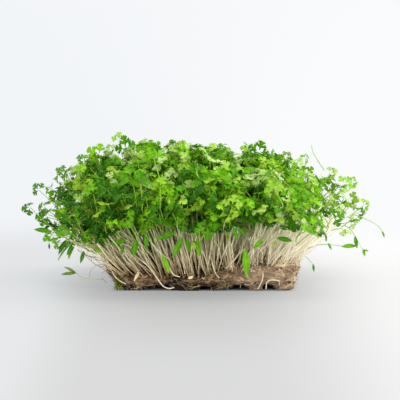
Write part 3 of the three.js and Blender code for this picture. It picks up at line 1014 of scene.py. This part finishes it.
# Leaf stalks in plain sight at the front: the pixels of the foot and of the leaf, the depth and the tone
STALKS_IN_SIGHT = (
    ((161, 184), (153.5, 158), -57, 0.5),
    ((177, 226), (182, 195), -67, 0.35),
    ((175, 218), (166, 197), -66, 0.6),
    ((160, 209), (160, 187), -65, 0.7),
    ((142, 212), (140, 184), -64, 0.3),
    ((137, 209), (131, 177), -61, 0.45),
    ((100, 223), (93.5, 194), -57, 0.5),
    ((75.5, 228), (62, 208), -42, 0.4),
    ((283, 206), (274.5, 191), -63, 0.75),
    ((283.5, 215), (289, 197), -62, 0.5),
    ((225, 221), (232, 206), -67, 0.85),
)
STALK_IN_SIGHT_RADIUS = (0.3 * MM, 0.22 * MM)
STALK_IN_SIGHT_BOW = 2 * MM
STALK_IN_SIGHT_BACK = 2  # millimetres by which their leaves stand further back
STALK_IN_SIGHT_LEAFLET = 6 * MM
STALK_LEAF_FACES_UP = 0.4
STALK_LEAF_LOOSE = 0.3


def hanging_stem(tree, top):
    """Stem of a seed leaf or stalk in plain sight, from the mat."""
    x, y = (clamped(way * HANGING_FOOT, -most, most) for way, most in zip(top.xy, FEET_WITHIN))
    foot, _ = dropped(tree, x, y)
    bend = foot.lerp(top, HANGING_BEND) + UP * HANGING_BEND_RISE
    points = arched(foot - UP * FOOT_SINK, bend, top, HANGING_STEM_KNOTS)
    return tapering(points, *HANGING_STEM_RADIUS)


def add_stalks_in_sight(bm, tree, leaves):
    """Adds stalks, each with its leaf, and gives back the stems that they go on from."""
    stems = []
    stalks = []
    for index, (foot, tip, depth, tone) in enumerate(STALKS_IN_SIGHT):
        start = photo_spot(*foot, depth)
        end = photo_spot(*tip, depth + STALK_IN_SIGHT_BACK)
        reach = end - start
        bend = start.lerp(end, 0.5) + VIEW_RIGHT * around(STALK_IN_SIGHT_BOW)
        stalks.append(tapering(arched(start, bend, end, STALK_KNOTS), *STALK_IN_SIGHT_RADIUS))
        face = (UP * STALK_LEAF_FACES_UP - VIEW_AHEAD + strew(STALK_LEAF_LOOSE)).normalized()
        forward = reach + strew(STALK_LEAF_LOOSE) * reach.length
        place = leaf_frame(end, forward, face, STALK_IN_SIGHT_LEAFLET)
        stamp(bm, leaves[index % len(leaves)], place, tone)
        stems.append(hanging_stem(tree, start))
    add_stalks(bm, stalks)
    return stems


def make_hanging_seed_leaves(tree, shapes, leaves):
    """Seed leaves and stalks in plain sight, and the stems that bear them."""
    bm = new_leafy()
    runs = []
    right, ahead, up = HANGING_FACE
    for index, (foot, tip, depth, tone, width) in enumerate(HANGING_SEED_LEAVES):
        start = photo_spot(*foot, depth)
        forward = photo_spot(*tip, depth - HANGING_FORWARD) - start
        face = Vector((right + around(HANGING_FACE_TURN), ahead, up))
        face = (face + strew(HANGING_FACE_LOOSE)).normalized()
        stamp(bm, shapes[index % len(shapes)], leaf_frame(start, forward, face, forward.length, width), tone)
        if index < len(HANGING_SEED_LEAVES) - HANGING_ON_STRAYS:
            runs.append(hanging_stem(tree, start))
    stalks = [photo_line(corners) for corners in DROOPING_STALKS]
    runs.extend(hanging_stem(tree, points[0]) for points in stalks)
    add_stalks(bm, [tapering(points, *DROOPING_RADIUS) for points in stalks])
    runs.extend(add_stalks_in_sight(bm, tree, leaves))
    return blade_piece("hanging_seed_leaves", bm), tube_piece("hanging_seed_leaf_stems", runs)


# Small loose things on the mat
CRUMB_COUNT = 2600
CRUMB_HALF = (0.3 * MM, 0.95 * MM)
CRUMB_WIDTH = (0.5, 1.8)
CRUMB_HEIGHT = (0.35, 0.8)
CRUMB_ROUGH = 0.12 * MM
CRUMBS_LEAST_UP = -0.7
CRUMB_TONE_SPREAD = 0.6
CRUMB_TONE_RISE = 0.35


def crumb_tone(place):
    """Darker towards the left end and low down, as the mat is."""
    right = (place.x - mat_low.x) / (mat_high.x - mat_low.x)
    return chance.uniform(0, CRUMB_TONE_SPREAD) + CRUMB_TONE_RISE * right * place.z / mat_high.z


def make_crumbs(mat):
    """Small bits of growing medium that stick out all over the mat."""
    verts = mat.data.vertices
    spots = [vert.co for vert in verts if vert.normal.z > CRUMBS_LEAST_UP and clear_of_hollows(vert.co)]
    bm = bmesh.new()
    bmesh.ops.create_icosphere(bm, subdivisions=1, radius=1)
    corners = [vert.co.copy() for vert in bm.verts]
    sides = [[vert.index for vert in face.verts] for face in bm.faces]
    bm.free()
    points = []
    faces = []
    tones = []
    for _ in range(CRUMB_COUNT):
        spot = chance.choice(spots)
        half = chance.uniform(*CRUMB_HALF)
        width = half * chance.uniform(*CRUMB_WIDTH)
        shape = Matrix.Diagonal((width, half, half * chance.uniform(*CRUMB_HEIGHT)))
        turn = Matrix.Rotation(chance.uniform(0, math.tau), 3, strew(1).normalized())
        first = len(points)
        for corner in corners:
            point = spot + turn @ (shape @ corner) + strew(CRUMB_ROUGH)
            point.z = max(point.z, CRUMB_ROUGH)
            points.append(point)
        faces.extend([first + index for index in side] for side in sides)
        tones.extend([crumb_tone(spot)] * len(corners))
    mesh = bpy.data.meshes.new("medium_crumbs")
    mesh.from_pydata(points, [], faces)
    mesh.attributes.new("tone", "FLOAT", "POINT").data.foreach_set("value", tones)
    return object_of("medium_crumbs", mesh)


HUSK_COUNT = 70
HUSK_LENGTH = (1.6 * MM, 3.4 * MM)
HUSK_LIFT = 0.3 * MM
HUSK_LOOSE = 0.5
HUSKS_ABOVE = 4 * MM
# Pale husks in plain sight: the pixels of both ends, the depth and the width
HUSKS_IN_SIGHT = (
    ((188, 278.5), (193.5, 276), -47.5, 1.4),
    ((134, 281), (141.5, 268.5), -46, 0.6),
    ((231, 268), (232.5, 260), -46, 0.8),
)
HUSK_IN_SIGHT_FACE = Vector((0.3, -1, 0.4)).normalized()
HUSK_IN_SIGHT_FORWARD = 1  # millimetres by which their tips stand nearer


def make_husks(mat, shapes):
    """Empty seed husks and dry scales on the mat's top and front edge."""
    verts = mat.data.vertices
    spots = [vert for vert in verts if vert.co.z > HUSKS_ABOVE and vert.normal.z > TOP_LEAST_UP]
    bm = bmesh.new()
    bm.verts.layers.float.new("tone")
    for _ in range(HUSK_COUNT):
        spot = chance.choice(spots)
        face = (Vector(spot.normal) + strew(HUSK_LOOSE)).normalized()
        start = spot.co + spot.normal * HUSK_LIFT
        place = leaf_frame(start, strew(1), face, chance.uniform(*HUSK_LENGTH))
        stamp(bm, chance.choice(shapes), place, chance.random())
    for foot, tip, depth, width in HUSKS_IN_SIGHT:
        start = photo_spot(*foot, depth)
        forward = photo_spot(*tip, depth - HUSK_IN_SIGHT_FORWARD) - start
        stamp(bm, shapes[0], leaf_frame(start, forward, HUSK_IN_SIGHT_FACE, forward.length, width), 1)
    return blade_piece("seed_husks", bm)


MOSS_MIDDLE = Vector((-48, -43.5, 4.6)) * MM
MOSS_HALF = Vector((2.6, 2, 4.3)) * MM
MOSS_LEAVES = 170
MOSS_LEAF = 1.1 * MM
MOSS_SHARES = (0.4, 1)  # from the middle to the outside
MOSS_LOWEST = 0.8 * MM
MOSS_UPWARD = 0.5
MOSS_LOOSE = 0.3
MOSS_TONE_SPREAD = (-0.2, 0.35)


def make_moss(shapes):
    """Low green clump of tiny leaves at the left front corner."""
    bm = new_leafy()
    for _ in range(MOSS_LEAVES):
        out = strew(1).normalized()
        place = MOSS_MIDDLE + MOSS_HALF * out * chance.uniform(*MOSS_SHARES)
        place.z = max(place.z, MOSS_LOWEST)
        forward = out + UP * MOSS_UPWARD + strew(MOSS_LOOSE)
        spot = leaf_frame(place, forward, out.orthogonal().normalized(), MOSS_LEAF)
        stamp(bm, chance.choice(shapes), spot, chance.uniform(*MOSS_TONE_SPREAD))
    return blade_piece("moss_clump", bm)


# Finishes
MIX_SHARE = 0  # sockets of a mix node that is set to colours
MIX_FIRST = 6
MIX_SECOND = 7
MIX_RESULT = 2


def new_material(name):
    material = bpy.data.materials.new(name)
    material.use_nodes = True
    tree = material.node_tree
    return material, tree, tree.nodes["Principled BSDF"]


def feed(tree, socket, value):
    """Links a socket to another one, or sets it to a number, a vector or a colour."""
    if isinstance(value, (int, float, Vector)):
        socket.default_value = value
    elif isinstance(value, tuple):
        socket.default_value = (*value, 1)
    else:
        tree.links.new(value, socket)


def ramp(tree, source, stops, passage="LINEAR"):
    made = tree.nodes.new("ShaderNodeValToRGB")
    made.color_ramp.interpolation = passage
    elements = made.color_ramp.elements
    while len(elements) < len(stops):
        elements.new(0.5)
    for element, (place, colour) in zip(elements, stops):
        element.position = place
        element.color = (*colour, 1)
    tree.links.new(source, made.inputs["Fac"])
    return made.outputs["Color"]


def maths(tree, operation, first, second=0.0, clamp=False):
    made = tree.nodes.new("ShaderNodeMath")
    made.operation = operation
    made.use_clamp = clamp
    feed(tree, made.inputs[0], first)
    feed(tree, made.inputs[1], second)
    return made.outputs["Value"]


def vector_maths(tree, operation, first, second=None, result="Vector"):
    made = tree.nodes.new("ShaderNodeVectorMath")
    made.operation = operation
    feed(tree, made.inputs[0], first)
    if second is not None:
        feed(tree, made.inputs[1], second)
    return made.outputs[result]


def ranged(tree, value, ends, results=(0, 1), passage="LINEAR"):
    """How far a value has come between two ends, given as a number between two results."""
    made = tree.nodes.new("ShaderNodeMapRange")
    made.interpolation_type = passage
    for name, number in zip(("From Min", "From Max", "To Min", "To Max"), (*ends, *results)):
        made.inputs[name].default_value = number
    tree.links.new(value, made.inputs["Value"])
    return made.outputs["Result"]


def mixed(tree, share, first, second, blend="MIX"):
    made = tree.nodes.new("ShaderNodeMix")
    made.data_type = "RGBA"
    made.blend_type = blend
    feed(tree, made.inputs[MIX_SHARE], share)
    feed(tree, made.inputs[MIX_FIRST], first)
    feed(tree, made.inputs[MIX_SECOND], second)
    return made.outputs[MIX_RESULT]


def mixed_surface(tree, share, first, second):
    made = tree.nodes.new("ShaderNodeMixShader")
    feed(tree, made.inputs["Fac"], share)
    tree.links.new(first, made.inputs[1])
    tree.links.new(second, made.inputs[2])
    return made.outputs["Shader"]


def show(tree, surface):
    tree.links.new(surface, tree.nodes["Material Output"].inputs["Surface"])


def object_place(tree):
    return tree.nodes.new("ShaderNodeTexCoord").outputs["Object"]


def axes(tree, vector):
    made = tree.nodes.new("ShaderNodeSeparateXYZ")
    tree.links.new(vector, made.inputs["Vector"])
    return made.outputs


def attribute(tree, name):
    made = tree.nodes.new("ShaderNodeAttribute")
    made.attribute_name = name
    return made.outputs["Fac"]


def patch_group():
    """Soft patches of a given size, which may be stretched, as a share from 0 to 1."""
    group = bpy.data.node_groups.new("soft_patches", "ShaderNodeTree")
    group.interface.new_socket("Patches per Metre", in_out="INPUT", socket_type="NodeSocketFloat")
    group.interface.new_socket("Stretch", in_out="INPUT", socket_type="NodeSocketVector")
    group.interface.new_socket("Detail", in_out="INPUT", socket_type="NodeSocketFloat")
    group.interface.new_socket("Share", in_out="OUTPUT", socket_type="NodeSocketFloat")
    given = group.nodes.new("NodeGroupInput").outputs
    pattern = group.nodes.new("ShaderNodeTexNoise")
    result = group.nodes.new("NodeGroupOutput")
    drawn = vector_maths(group, "MULTIPLY", object_place(group), given["Stretch"])
    group.links.new(drawn, pattern.inputs["Vector"])
    group.links.new(given["Patches per Metre"], pattern.inputs["Scale"])
    group.links.new(given["Detail"], pattern.inputs["Detail"])
    group.links.new(pattern.outputs["Fac"], result.inputs["Share"])
    return group


def patches(tree, size, detail=3.0, stretch=(1, 1, 1)):
    made = tree.nodes.new("ShaderNodeGroup")
    made.node_tree = soft_patches
    made.inputs["Patches per Metre"].default_value = 1 / size
    made.inputs["Stretch"].default_value = stretch
    made.inputs["Detail"].default_value = detail
    return made.outputs["Share"]


def unevenness(tree, share, strength):
    """A share from 0 to 1, made to go up and down about nothing."""
    return maths(tree, "MULTIPLY", maths(tree, "SUBTRACT", share, 0.5), strength)


def bumped(tree, shader, height, strength, distance):
    bump = tree.nodes.new("ShaderNodeBump")
    bump.inputs["Strength"].default_value = strength
    bump.inputs["Distance"].default_value = distance
    tree.links.new(height, bump.inputs["Height"])
    tree.links.new(bump.outputs["Normal"], shader.inputs["Normal"])


def coat(tree, shader, colour, roughness, shine=0.5):
    feed(tree, shader.inputs["Base Color"], colour)
    shader.inputs["Roughness"].default_value = roughness
    shader.inputs["Specular IOR Level"].default_value = shine


def let_light_through(tree, shader, colour, share):
    """Mixes a thin leaf's or stem's glow into its surface."""
    glow = tree.nodes.new("ShaderNodeBsdfTranslucent")
    tree.links.new(colour, glow.inputs["Color"])
    show(tree, mixed_surface(tree, share, shader.outputs["BSDF"], glow.outputs["BSDF"]))


LEAF_TONES = ((0.0, (0.010, 0.105, 0.001)), (0.3, (0.07, 0.31, 0.002)), (0.6, (0.21, 0.55, 0.005)),
              (0.8, (0.36, 0.61, 0.03)), (0.9, (0.39, 0.61, 0.10)), (1.0, (0.50, 0.69, 0.24)))
LEAF_CLOUDS = ((0.3, (0.62, 0.66, 0.6)), (0.65, (1.0, 1.0, 1.0)))
LEAF_CLOUD = 3 * MM
LEAF_CRINKLE = 1.6 * MM
LEAF_GLOW = (1.0, 0.92, 0.35)
STALK_GREEN = (0.34, 0.55, 0.06)
STALK_TONES_FROM = 1.7
VEIN_GREEN = (0.44, 0.66, 0.12)
VEIN_STRENGTH = 0.35
RIB_SHARPNESS = 30
SIDE_VEIN_SLANT = 0.9
SIDE_VEIN_WAVES = 40
SIDE_VEIN_FROM = 0.8
SIDE_VEIN_SHARPNESS = 2.5


def leaf_veins(tree):
    """The rib along the middle of a blade, and slanting veins to both sides: 1 on a vein and 0 off it."""
    uv = tree.nodes.new("ShaderNodeUVMap")
    uv.uv_map = "veins"
    place = axes(tree, uv.outputs["UV"])
    out = maths(tree, "ABSOLUTE", maths(tree, "SUBTRACT", place["X"], 0.5))
    rib = maths(tree, "SUBTRACT", 1, maths(tree, "MULTIPLY", out, RIB_SHARPNESS), clamp=True)
    slant = maths(tree, "SUBTRACT", place["Y"], maths(tree, "MULTIPLY", out, SIDE_VEIN_SLANT))
    wave = maths(tree, "SINE", maths(tree, "MULTIPLY", slant, SIDE_VEIN_WAVES))
    crest = maths(tree, "SUBTRACT", wave, SIDE_VEIN_FROM, clamp=True)
    side = maths(tree, "MULTIPLY", crest, SIDE_VEIN_SHARPNESS)
    return maths(tree, "MAXIMUM", rib, side, clamp=True)


def leaf_finish():
    material, tree, shader = new_material("leaf")
    tone = attribute(tree, "tone")
    cloud = ramp(tree, patches(tree, LEAF_CLOUD), LEAF_CLOUDS)
    green = mixed(tree, 1.0, ramp(tree, tone, LEAF_TONES), cloud, "MULTIPLY")
    vein = leaf_veins(tree)
    green = mixed(tree, maths(tree, "MULTIPLY", vein, VEIN_STRENGTH), green, VEIN_GREEN)
    green = mixed(tree, maths(tree, "GREATER_THAN", tone, STALK_TONES_FROM), green, STALK_GREEN)
    coat(tree, shader, green, roughness=0.4, shine=0.06)
    height = maths(tree, "SUBTRACT", patches(tree, LEAF_CRINKLE), vein)
    bumped(tree, shader, height, strength=0.35, distance=0.15 * MM)
    let_light_through(tree, shader, mixed(tree, 1.0, green, LEAF_GLOW, "MULTIPLY"), share=0.45)
    return material


# Brown at the foot, partly the stems' own colour and partly painted shade among the crowded stems; cream
# higher up and green at the top.
STEM_TONES = ((0.0, (0.46, 0.33, 0.17)), (0.12, (0.74, 0.62, 0.39)), (0.4, (0.93, 0.87, 0.64)),
              (0.7, (0.82, 0.83, 0.45)), (1.0, (0.32, 0.50, 0.08)))
STEM_HEIGHTS = (8 * MM, 50 * MM)
STEM_PATCH = 4 * MM
STEM_STREAKS = ((0.3, (0.78, 0.76, 0.7)), (0.7, (1.0, 1.0, 1.0)))
STEM_STREAK = 1.2 * MM
# Painted light: the stems turn paler towards the right end, where the light falls brightest.
STEM_PAINTED_LIGHT = (0.97, 0.94, 0.82)
STEM_PAINTED_LIGHT_END = (10 * MM, 55 * MM)
STEM_PAINTED_LIGHT_SHARE = 0.8


def stem_finish():
    material, tree, shader = new_material("stem")
    place = axes(tree, object_place(tree))
    height = ranged(tree, place["Z"], STEM_HEIGHTS)
    patch = unevenness(tree, patches(tree, STEM_PATCH), strength=0.6)
    colour = ramp(tree, maths(tree, "ADD", height, patch, clamp=True), STEM_TONES)
    streak = ramp(tree, patches(tree, STEM_STREAK, stretch=(1, 1, 0.15)), STEM_STREAKS)
    colour = mixed(tree, 1.0, colour, streak, "MULTIPLY")
    # painted light: paler towards the right end
    pale = ranged(tree, place["X"], STEM_PAINTED_LIGHT_END, (0, STEM_PAINTED_LIGHT_SHARE))
    colour = mixed(tree, pale, colour, STEM_PAINTED_LIGHT)
    coat(tree, shader, colour, roughness=0.4, shine=0.35)
    let_light_through(tree, shader, colour, share=0.3)
    return material


MAT_TONES = ((0.2, (0.010, 0.006, 0.003)), (0.4, (0.062, 0.036, 0.017)), (0.57, (0.19, 0.124, 0.068)),
             (0.8, (0.56, 0.415, 0.27)), (1.0, (0.72, 0.57, 0.43)))
MAT_TONE = 0.4
MAT_DARKER = 0.06
MAT_CRUMB_STRENGTH = 0.7
MAT_FIBRE = 1.1 * MM
MAT_FIBRE_STRENGTH = 0.85
MAT_PALE = (0.42, 0.31, 0.215)
MAT_PALE_END = (5 * MM, 55 * MM)
MAT_PALE_TONE = 0.3
MAT_PALE_SHARE = 0.5


def mat_finish():
    material, tree, shader = new_material("growing_medium")
    # the tone carries painted shade from the mat: in its dips, on its underside and in its hollows
    crumb_and_shade = maths(tree, "MULTIPLY", attribute(tree, "crumb_and_shade"), MAT_CRUMB_STRENGTH)
    crumb_and_shade = maths(tree, "ADD", crumb_and_shade, MAT_TONE)
    fibres = patches(tree, MAT_FIBRE, detail=6.0, stretch=(0.4, 0.7, 1.2))
    blend = maths(tree, "ADD", crumb_and_shade, unevenness(tree, fibres, MAT_FIBRE_STRENGTH))
    pale = ranged(tree, axes(tree, object_place(tree))["X"], MAT_PALE_END)
    blend = maths(tree, "ADD", blend, maths(tree, "MULTIPLY", pale, MAT_PALE_TONE))
    blend = maths(tree, "SUBTRACT", blend, MAT_DARKER, clamp=True)
    pale_share = maths(tree, "MULTIPLY", pale, MAT_PALE_SHARE)
    colour = mixed(tree, pale_share, ramp(tree, blend, MAT_TONES), MAT_PALE)
    coat(tree, shader, colour, roughness=0.95, shine=0.2)
    bumped(tree, shader, blend, strength=0.9, distance=0.6 * MM)
    return material


ROOT_TONES = ((0.3, (0.13, 0.08, 0.042)), (0.5, (0.32, 0.225, 0.13)), (0.7, (0.66, 0.54, 0.37)))
STRAY_TONES = ((0.3, (0.62, 0.52, 0.34)), (0.7, (0.84, 0.78, 0.61)))
MOSS_TONES = ((0.3, (0.03, 0.042, 0.001)), (0.5, (0.16, 0.22, 0.01)), (0.7, (0.45, 0.55, 0.07)))
CRUMB_TONES = ((0.0, (0.020, 0.011, 0.005)), (0.4, (0.12, 0.075, 0.036)), (0.8, (0.42, 0.29, 0.17)),
               (1.0, (0.6, 0.45, 0.30)))
HUSK_TONES = ((0.0, (0.16, 0.09, 0.045)), (0.6, (0.36, 0.24, 0.13)), (1.0, (0.62, 0.48, 0.29)))


def patchy_finish(name, tones, size, roughness, shine, through=0):
    """Patches of a few tones, on something that may let a share of the light through."""
    material, tree, shader = new_material(name)
    colour = ramp(tree, patches(tree, size, detail=4.0), tones)
    coat(tree, shader, colour, roughness, shine)
    if through:
        let_light_through(tree, shader, colour, through)
    return material


def speckled_finish(name, tones, size, strength, roughness, shine=0.5):
    """Each bit in its own tone, with small specks."""
    material, tree, shader = new_material(name)
    speck = unevenness(tree, patches(tree, size), strength)
    colour = ramp(tree, maths(tree, "ADD", attribute(tree, "tone"), speck, clamp=True), tones)
    coat(tree, shader, colour, roughness, shine)
    return material


# Studio: a pale floor that fades into a white surround
FLOOR_HALF = 12
FLOOR_COLOUR = (0.36, 0.366, 0.372)
FLOOR_MIDDLE = Vector((-0.04, -0.14, 0))
FLOOR_FADE = (0.26, 0.5)
FLOOR_GLOW_SHARE = 0.7
FLOOR_GLOW_POWER = 1.05
GLOWS_ACROSS = (-0.25, 0.25)
GLOWS_CHANGE = (0.0, 0.16)  # along Y, from the front glows to the back ones
FRONT_GLOWS = ((0.31, (0.73, 0.75, 0.77)), (0.40, (0.60, 0.61, 0.61)), (0.54, (0.60, 0.61, 0.61)),
               (0.74, (0.90, 0.90, 0.90)))
BACK_GLOWS = ((0.29, (0.71, 0.73, 0.75)), (0.72, (0.97, 0.97, 0.97)))
SHADE_MIDDLE = Vector((-0.005, -0.06, 0))
SHADE_REACH = Vector((0.1, 0.24, 1))
SHADE_COLOUR = (0.73, 0.73, 0.73)
MAT_FOOT = (0.88, 0.96)  # shares of the mat's half sizes that stand on the floor
MAT_FOOT_EDGE = (0.94, 1.03)
SURROUND_COLOURS = ((0.89, 0.91, 0.935), (0.95, 0.965, 0.975))  # to the left and to the right
SURROUND_TURN = (-0.12, 0.12)


def surround_group():
    """Colour of the surround in a direction: a little brighter to the right."""
    group = bpy.data.node_groups.new("surround", "ShaderNodeTree")
    group.interface.new_socket("Direction", in_out="INPUT", socket_type="NodeSocketVector")
    group.interface.new_socket("Color", in_out="OUTPUT", socket_type="NodeSocketColor")
    given = group.nodes.new("NodeGroupInput")
    result = group.nodes.new("NodeGroupOutput")
    unit = vector_maths(group, "NORMALIZE", given.outputs["Direction"])
    turn = ranged(group, axes(group, unit)["X"], SURROUND_TURN, passage="SMOOTHSTEP")
    group.links.new(mixed(group, turn, *SURROUND_COLOURS), result.inputs["Color"])
    return group


def surround_colour(tree, group, direction):
    made = tree.nodes.new("ShaderNodeGroup")
    made.node_tree = group
    tree.links.new(direction, made.inputs["Direction"])
    return made.outputs["Color"]


def beside_mat(tree, place):
    """How much the floor glows: nothing under the mat, so that its hollows stay dark."""
    foot = Vector((mat_high.x * MAT_FOOT[0], mat_high.y * MAT_FOOT[1], 1))
    way = axes(tree, vector_maths(tree, "DIVIDE", place, foot))
    sides = [maths(tree, "ABSOLUTE", way[axis]) for axis in ("X", "Y")]
    return ranged(tree, maths(tree, "MAXIMUM", *sides), MAT_FOOT_EDGE, (0, FLOOR_GLOW_SHARE))


def shade_share(tree, place):
    """Soft pool of shade in front of the block."""
    aside = vector_maths(tree, "SUBTRACT", place, SHADE_MIDDLE)
    way = vector_maths(tree, "DIVIDE", aside, SHADE_REACH)
    length = vector_maths(tree, "LENGTH", way, result="Value")
    return ranged(tree, length, (0, 1), (1, 0), passage="SMOOTHSTEP")


def floor_glow(tree, place):
    """Brightness of the floor around the block: darker in the middle of the front, brighter to the right."""
    way = axes(tree, place)
    across = ranged(tree, way["X"], GLOWS_ACROSS)
    behind = ranged(tree, way["Y"], GLOWS_CHANGE)
    glows = [ramp(tree, across, stops, "EASE") for stops in (FRONT_GLOWS, BACK_GLOWS)]
    return mixed(tree, shade_share(tree, place), mixed(tree, behind, *glows), SHADE_COLOUR, "MULTIPLY")


def emitted(tree, colour, power=1):
    made = tree.nodes.new("ShaderNodeEmission")
    tree.links.new(colour, made.inputs["Color"])
    made.inputs["Strength"].default_value = power
    return made.outputs["Emission"]


def make_floor(surrounding):
    bm = bmesh.new()
    bmesh.ops.create_grid(bm, x_segments=1, y_segments=1, size=FLOOR_HALF)
    floor = object_of("studio_floor", mesh_of(bm, "studio_floor"))
    material, tree, shader = new_material("studio_floor")
    coat(tree, shader, FLOOR_COLOUR, roughness=0.6)
    place = object_place(tree)
    glow = emitted(tree, floor_glow(tree, place), FLOOR_GLOW_POWER)
    near = mixed_surface(tree, beside_mat(tree, place), shader.outputs["BSDF"], glow)
    length = vector_maths(tree, "DISTANCE", place, FLOOR_MIDDLE, result="Value")
    away = ranged(tree, length, FLOOR_FADE, passage="SMOOTHSTEP")
    far = emitted(tree, surround_colour(tree, surrounding, place))
    show(tree, mixed_surface(tree, away, near, far))
    floor.data.materials.append(material)


def make_world(surrounding):
    world = bpy.data.worlds.new("studio")
    world.use_nodes = True
    tree = world.node_tree
    direction = tree.nodes.new("ShaderNodeTexCoord").outputs["Generated"]
    colour = surround_colour(tree, surrounding, direction)
    tree.links.new(colour, tree.nodes["Background"].inputs["Color"])
    bpy.context.scene.world = world


SUNNY = (1.0, 0.97, 0.90)
LIGHTS = (  # place and size in metres, then watts
    ("front_left", (-0.9, -1.2, 0.26), 0.8, 13),
    ("front_right", (1.1, -0.9, 0.28), 0.8, 22),
    ("window", (1.3, 0.5, 0.6), 0.9, 27),
    ("ceiling", (0.1, 0.1, 1.3), 1.0, 17),
)


def make_lights():
    for name, place, size, power in LIGHTS:
        data = bpy.data.lights.new(name, "AREA")
        data.energy = power
        data.size = size
        data.color = SUNNY
        lamp = object_of(name, data)
        lamp.location = place
        lamp.rotation_euler = aimed(VIEW_AIM - Vector(place))
        lamp.visible_camera = False


set_camera()
surrounding = surround_group()
make_floor(surrounding)
make_world(surrounding)
make_lights()
bpy.context.scene.view_settings.view_transform = "Standard"

soft_patches = patch_group()
leaf_green = leaf_finish()
stem_cream = stem_finish()
medium_brown = mat_finish()
root_pale = patchy_finish("pale_root", ROOT_TONES, size=7 * MM, roughness=0.7, shine=0.25)
husk_tan = speckled_finish("dry_husk", HUSK_TONES, size=0.8 * MM, strength=0.6, roughness=0.6)
moss_olive = patchy_finish("moss", MOSS_TONES, size=1.5 * MM, roughness=0.8, shine=0.1, through=0.3)
crumb_brown = speckled_finish(
    "medium_crumb", CRUMB_TONES, size=0.7 * MM, strength=0.5, roughness=0.9, shine=0.2)
stray_cream = patchy_finish(
    "stray_stem", STRAY_TONES, size=4 * MM, roughness=0.4, shine=0.35, through=0.25)

mat, mat_tree = make_mat()
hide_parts("root_mat")
leaves = [
    three_part_leaf(fold=0.25, droop=0.15, wave=0.12, sag=0.15),
    three_part_leaf(fold=0.45, droop=0.3, wave=-0.15, sag=0.35),
    three_part_leaf(fold=0.1, droop=0.05, wave=0.2, sag=-0.1),
    three_part_leaf(fold=-0.2, droop=0.35, wave=0.1, sag=0.5),
]
leaflets = [blade(LEAFLET_EDGE, fold=0.3, droop=0.2, wave=0.1)]
seed_leaves = [
    blade(SEED_LEAF_EDGE, fold=0.3, droop=0.1, wave=0),
    blade(SEED_LEAF_EDGE, fold=0.15, droop=0.3, wave=0.1),
    blade(SEED_LEAF_EDGE, fold=0.5, droop=-0.1, wave=0),
]
sheaves = make_sheaves(mat_tree, leaves, seed_leaves)
threads = make_root_threads(mat, mat_tree)
strays = make_stray_stems()
husks = make_husks(mat, seed_leaves)
moss = make_moss(leaflets)
hanging, hanging_stems = make_hanging_seed_leaves(mat_tree, seed_leaves, leaves)
fuzz = make_fuzz(mat)
fringe = make_fringe(mat)
crumbs = make_crumbs(mat)
for shape in leaves + leaflets + seed_leaves:
    bpy.data.meshes.remove(shape)

finished = [
    (mat, "growing_medium", medium_brown),
    (threads, "growing_medium", root_pale),
    (strays, "stem", stray_cream),
    (husks, "growing_medium", husk_tan),
    (moss, "leaf", moss_olive),
    (hanging, "leaf", leaf_green),
    (hanging_stems, "stem", stem_cream),
    (fuzz, "growing_medium", root_pale),
    (fringe, "stem", stray_cream),
    (crumbs, "growing_medium", crumb_brown),
]
for stems, foliage in sheaves:
    finished.append((stems, "stem", stem_cream))
    finished.append((foliage, "leaf", leaf_green))
for piece, slot, finish in finished:
    piece.data.materials.append(finish)
    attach(piece, "root")
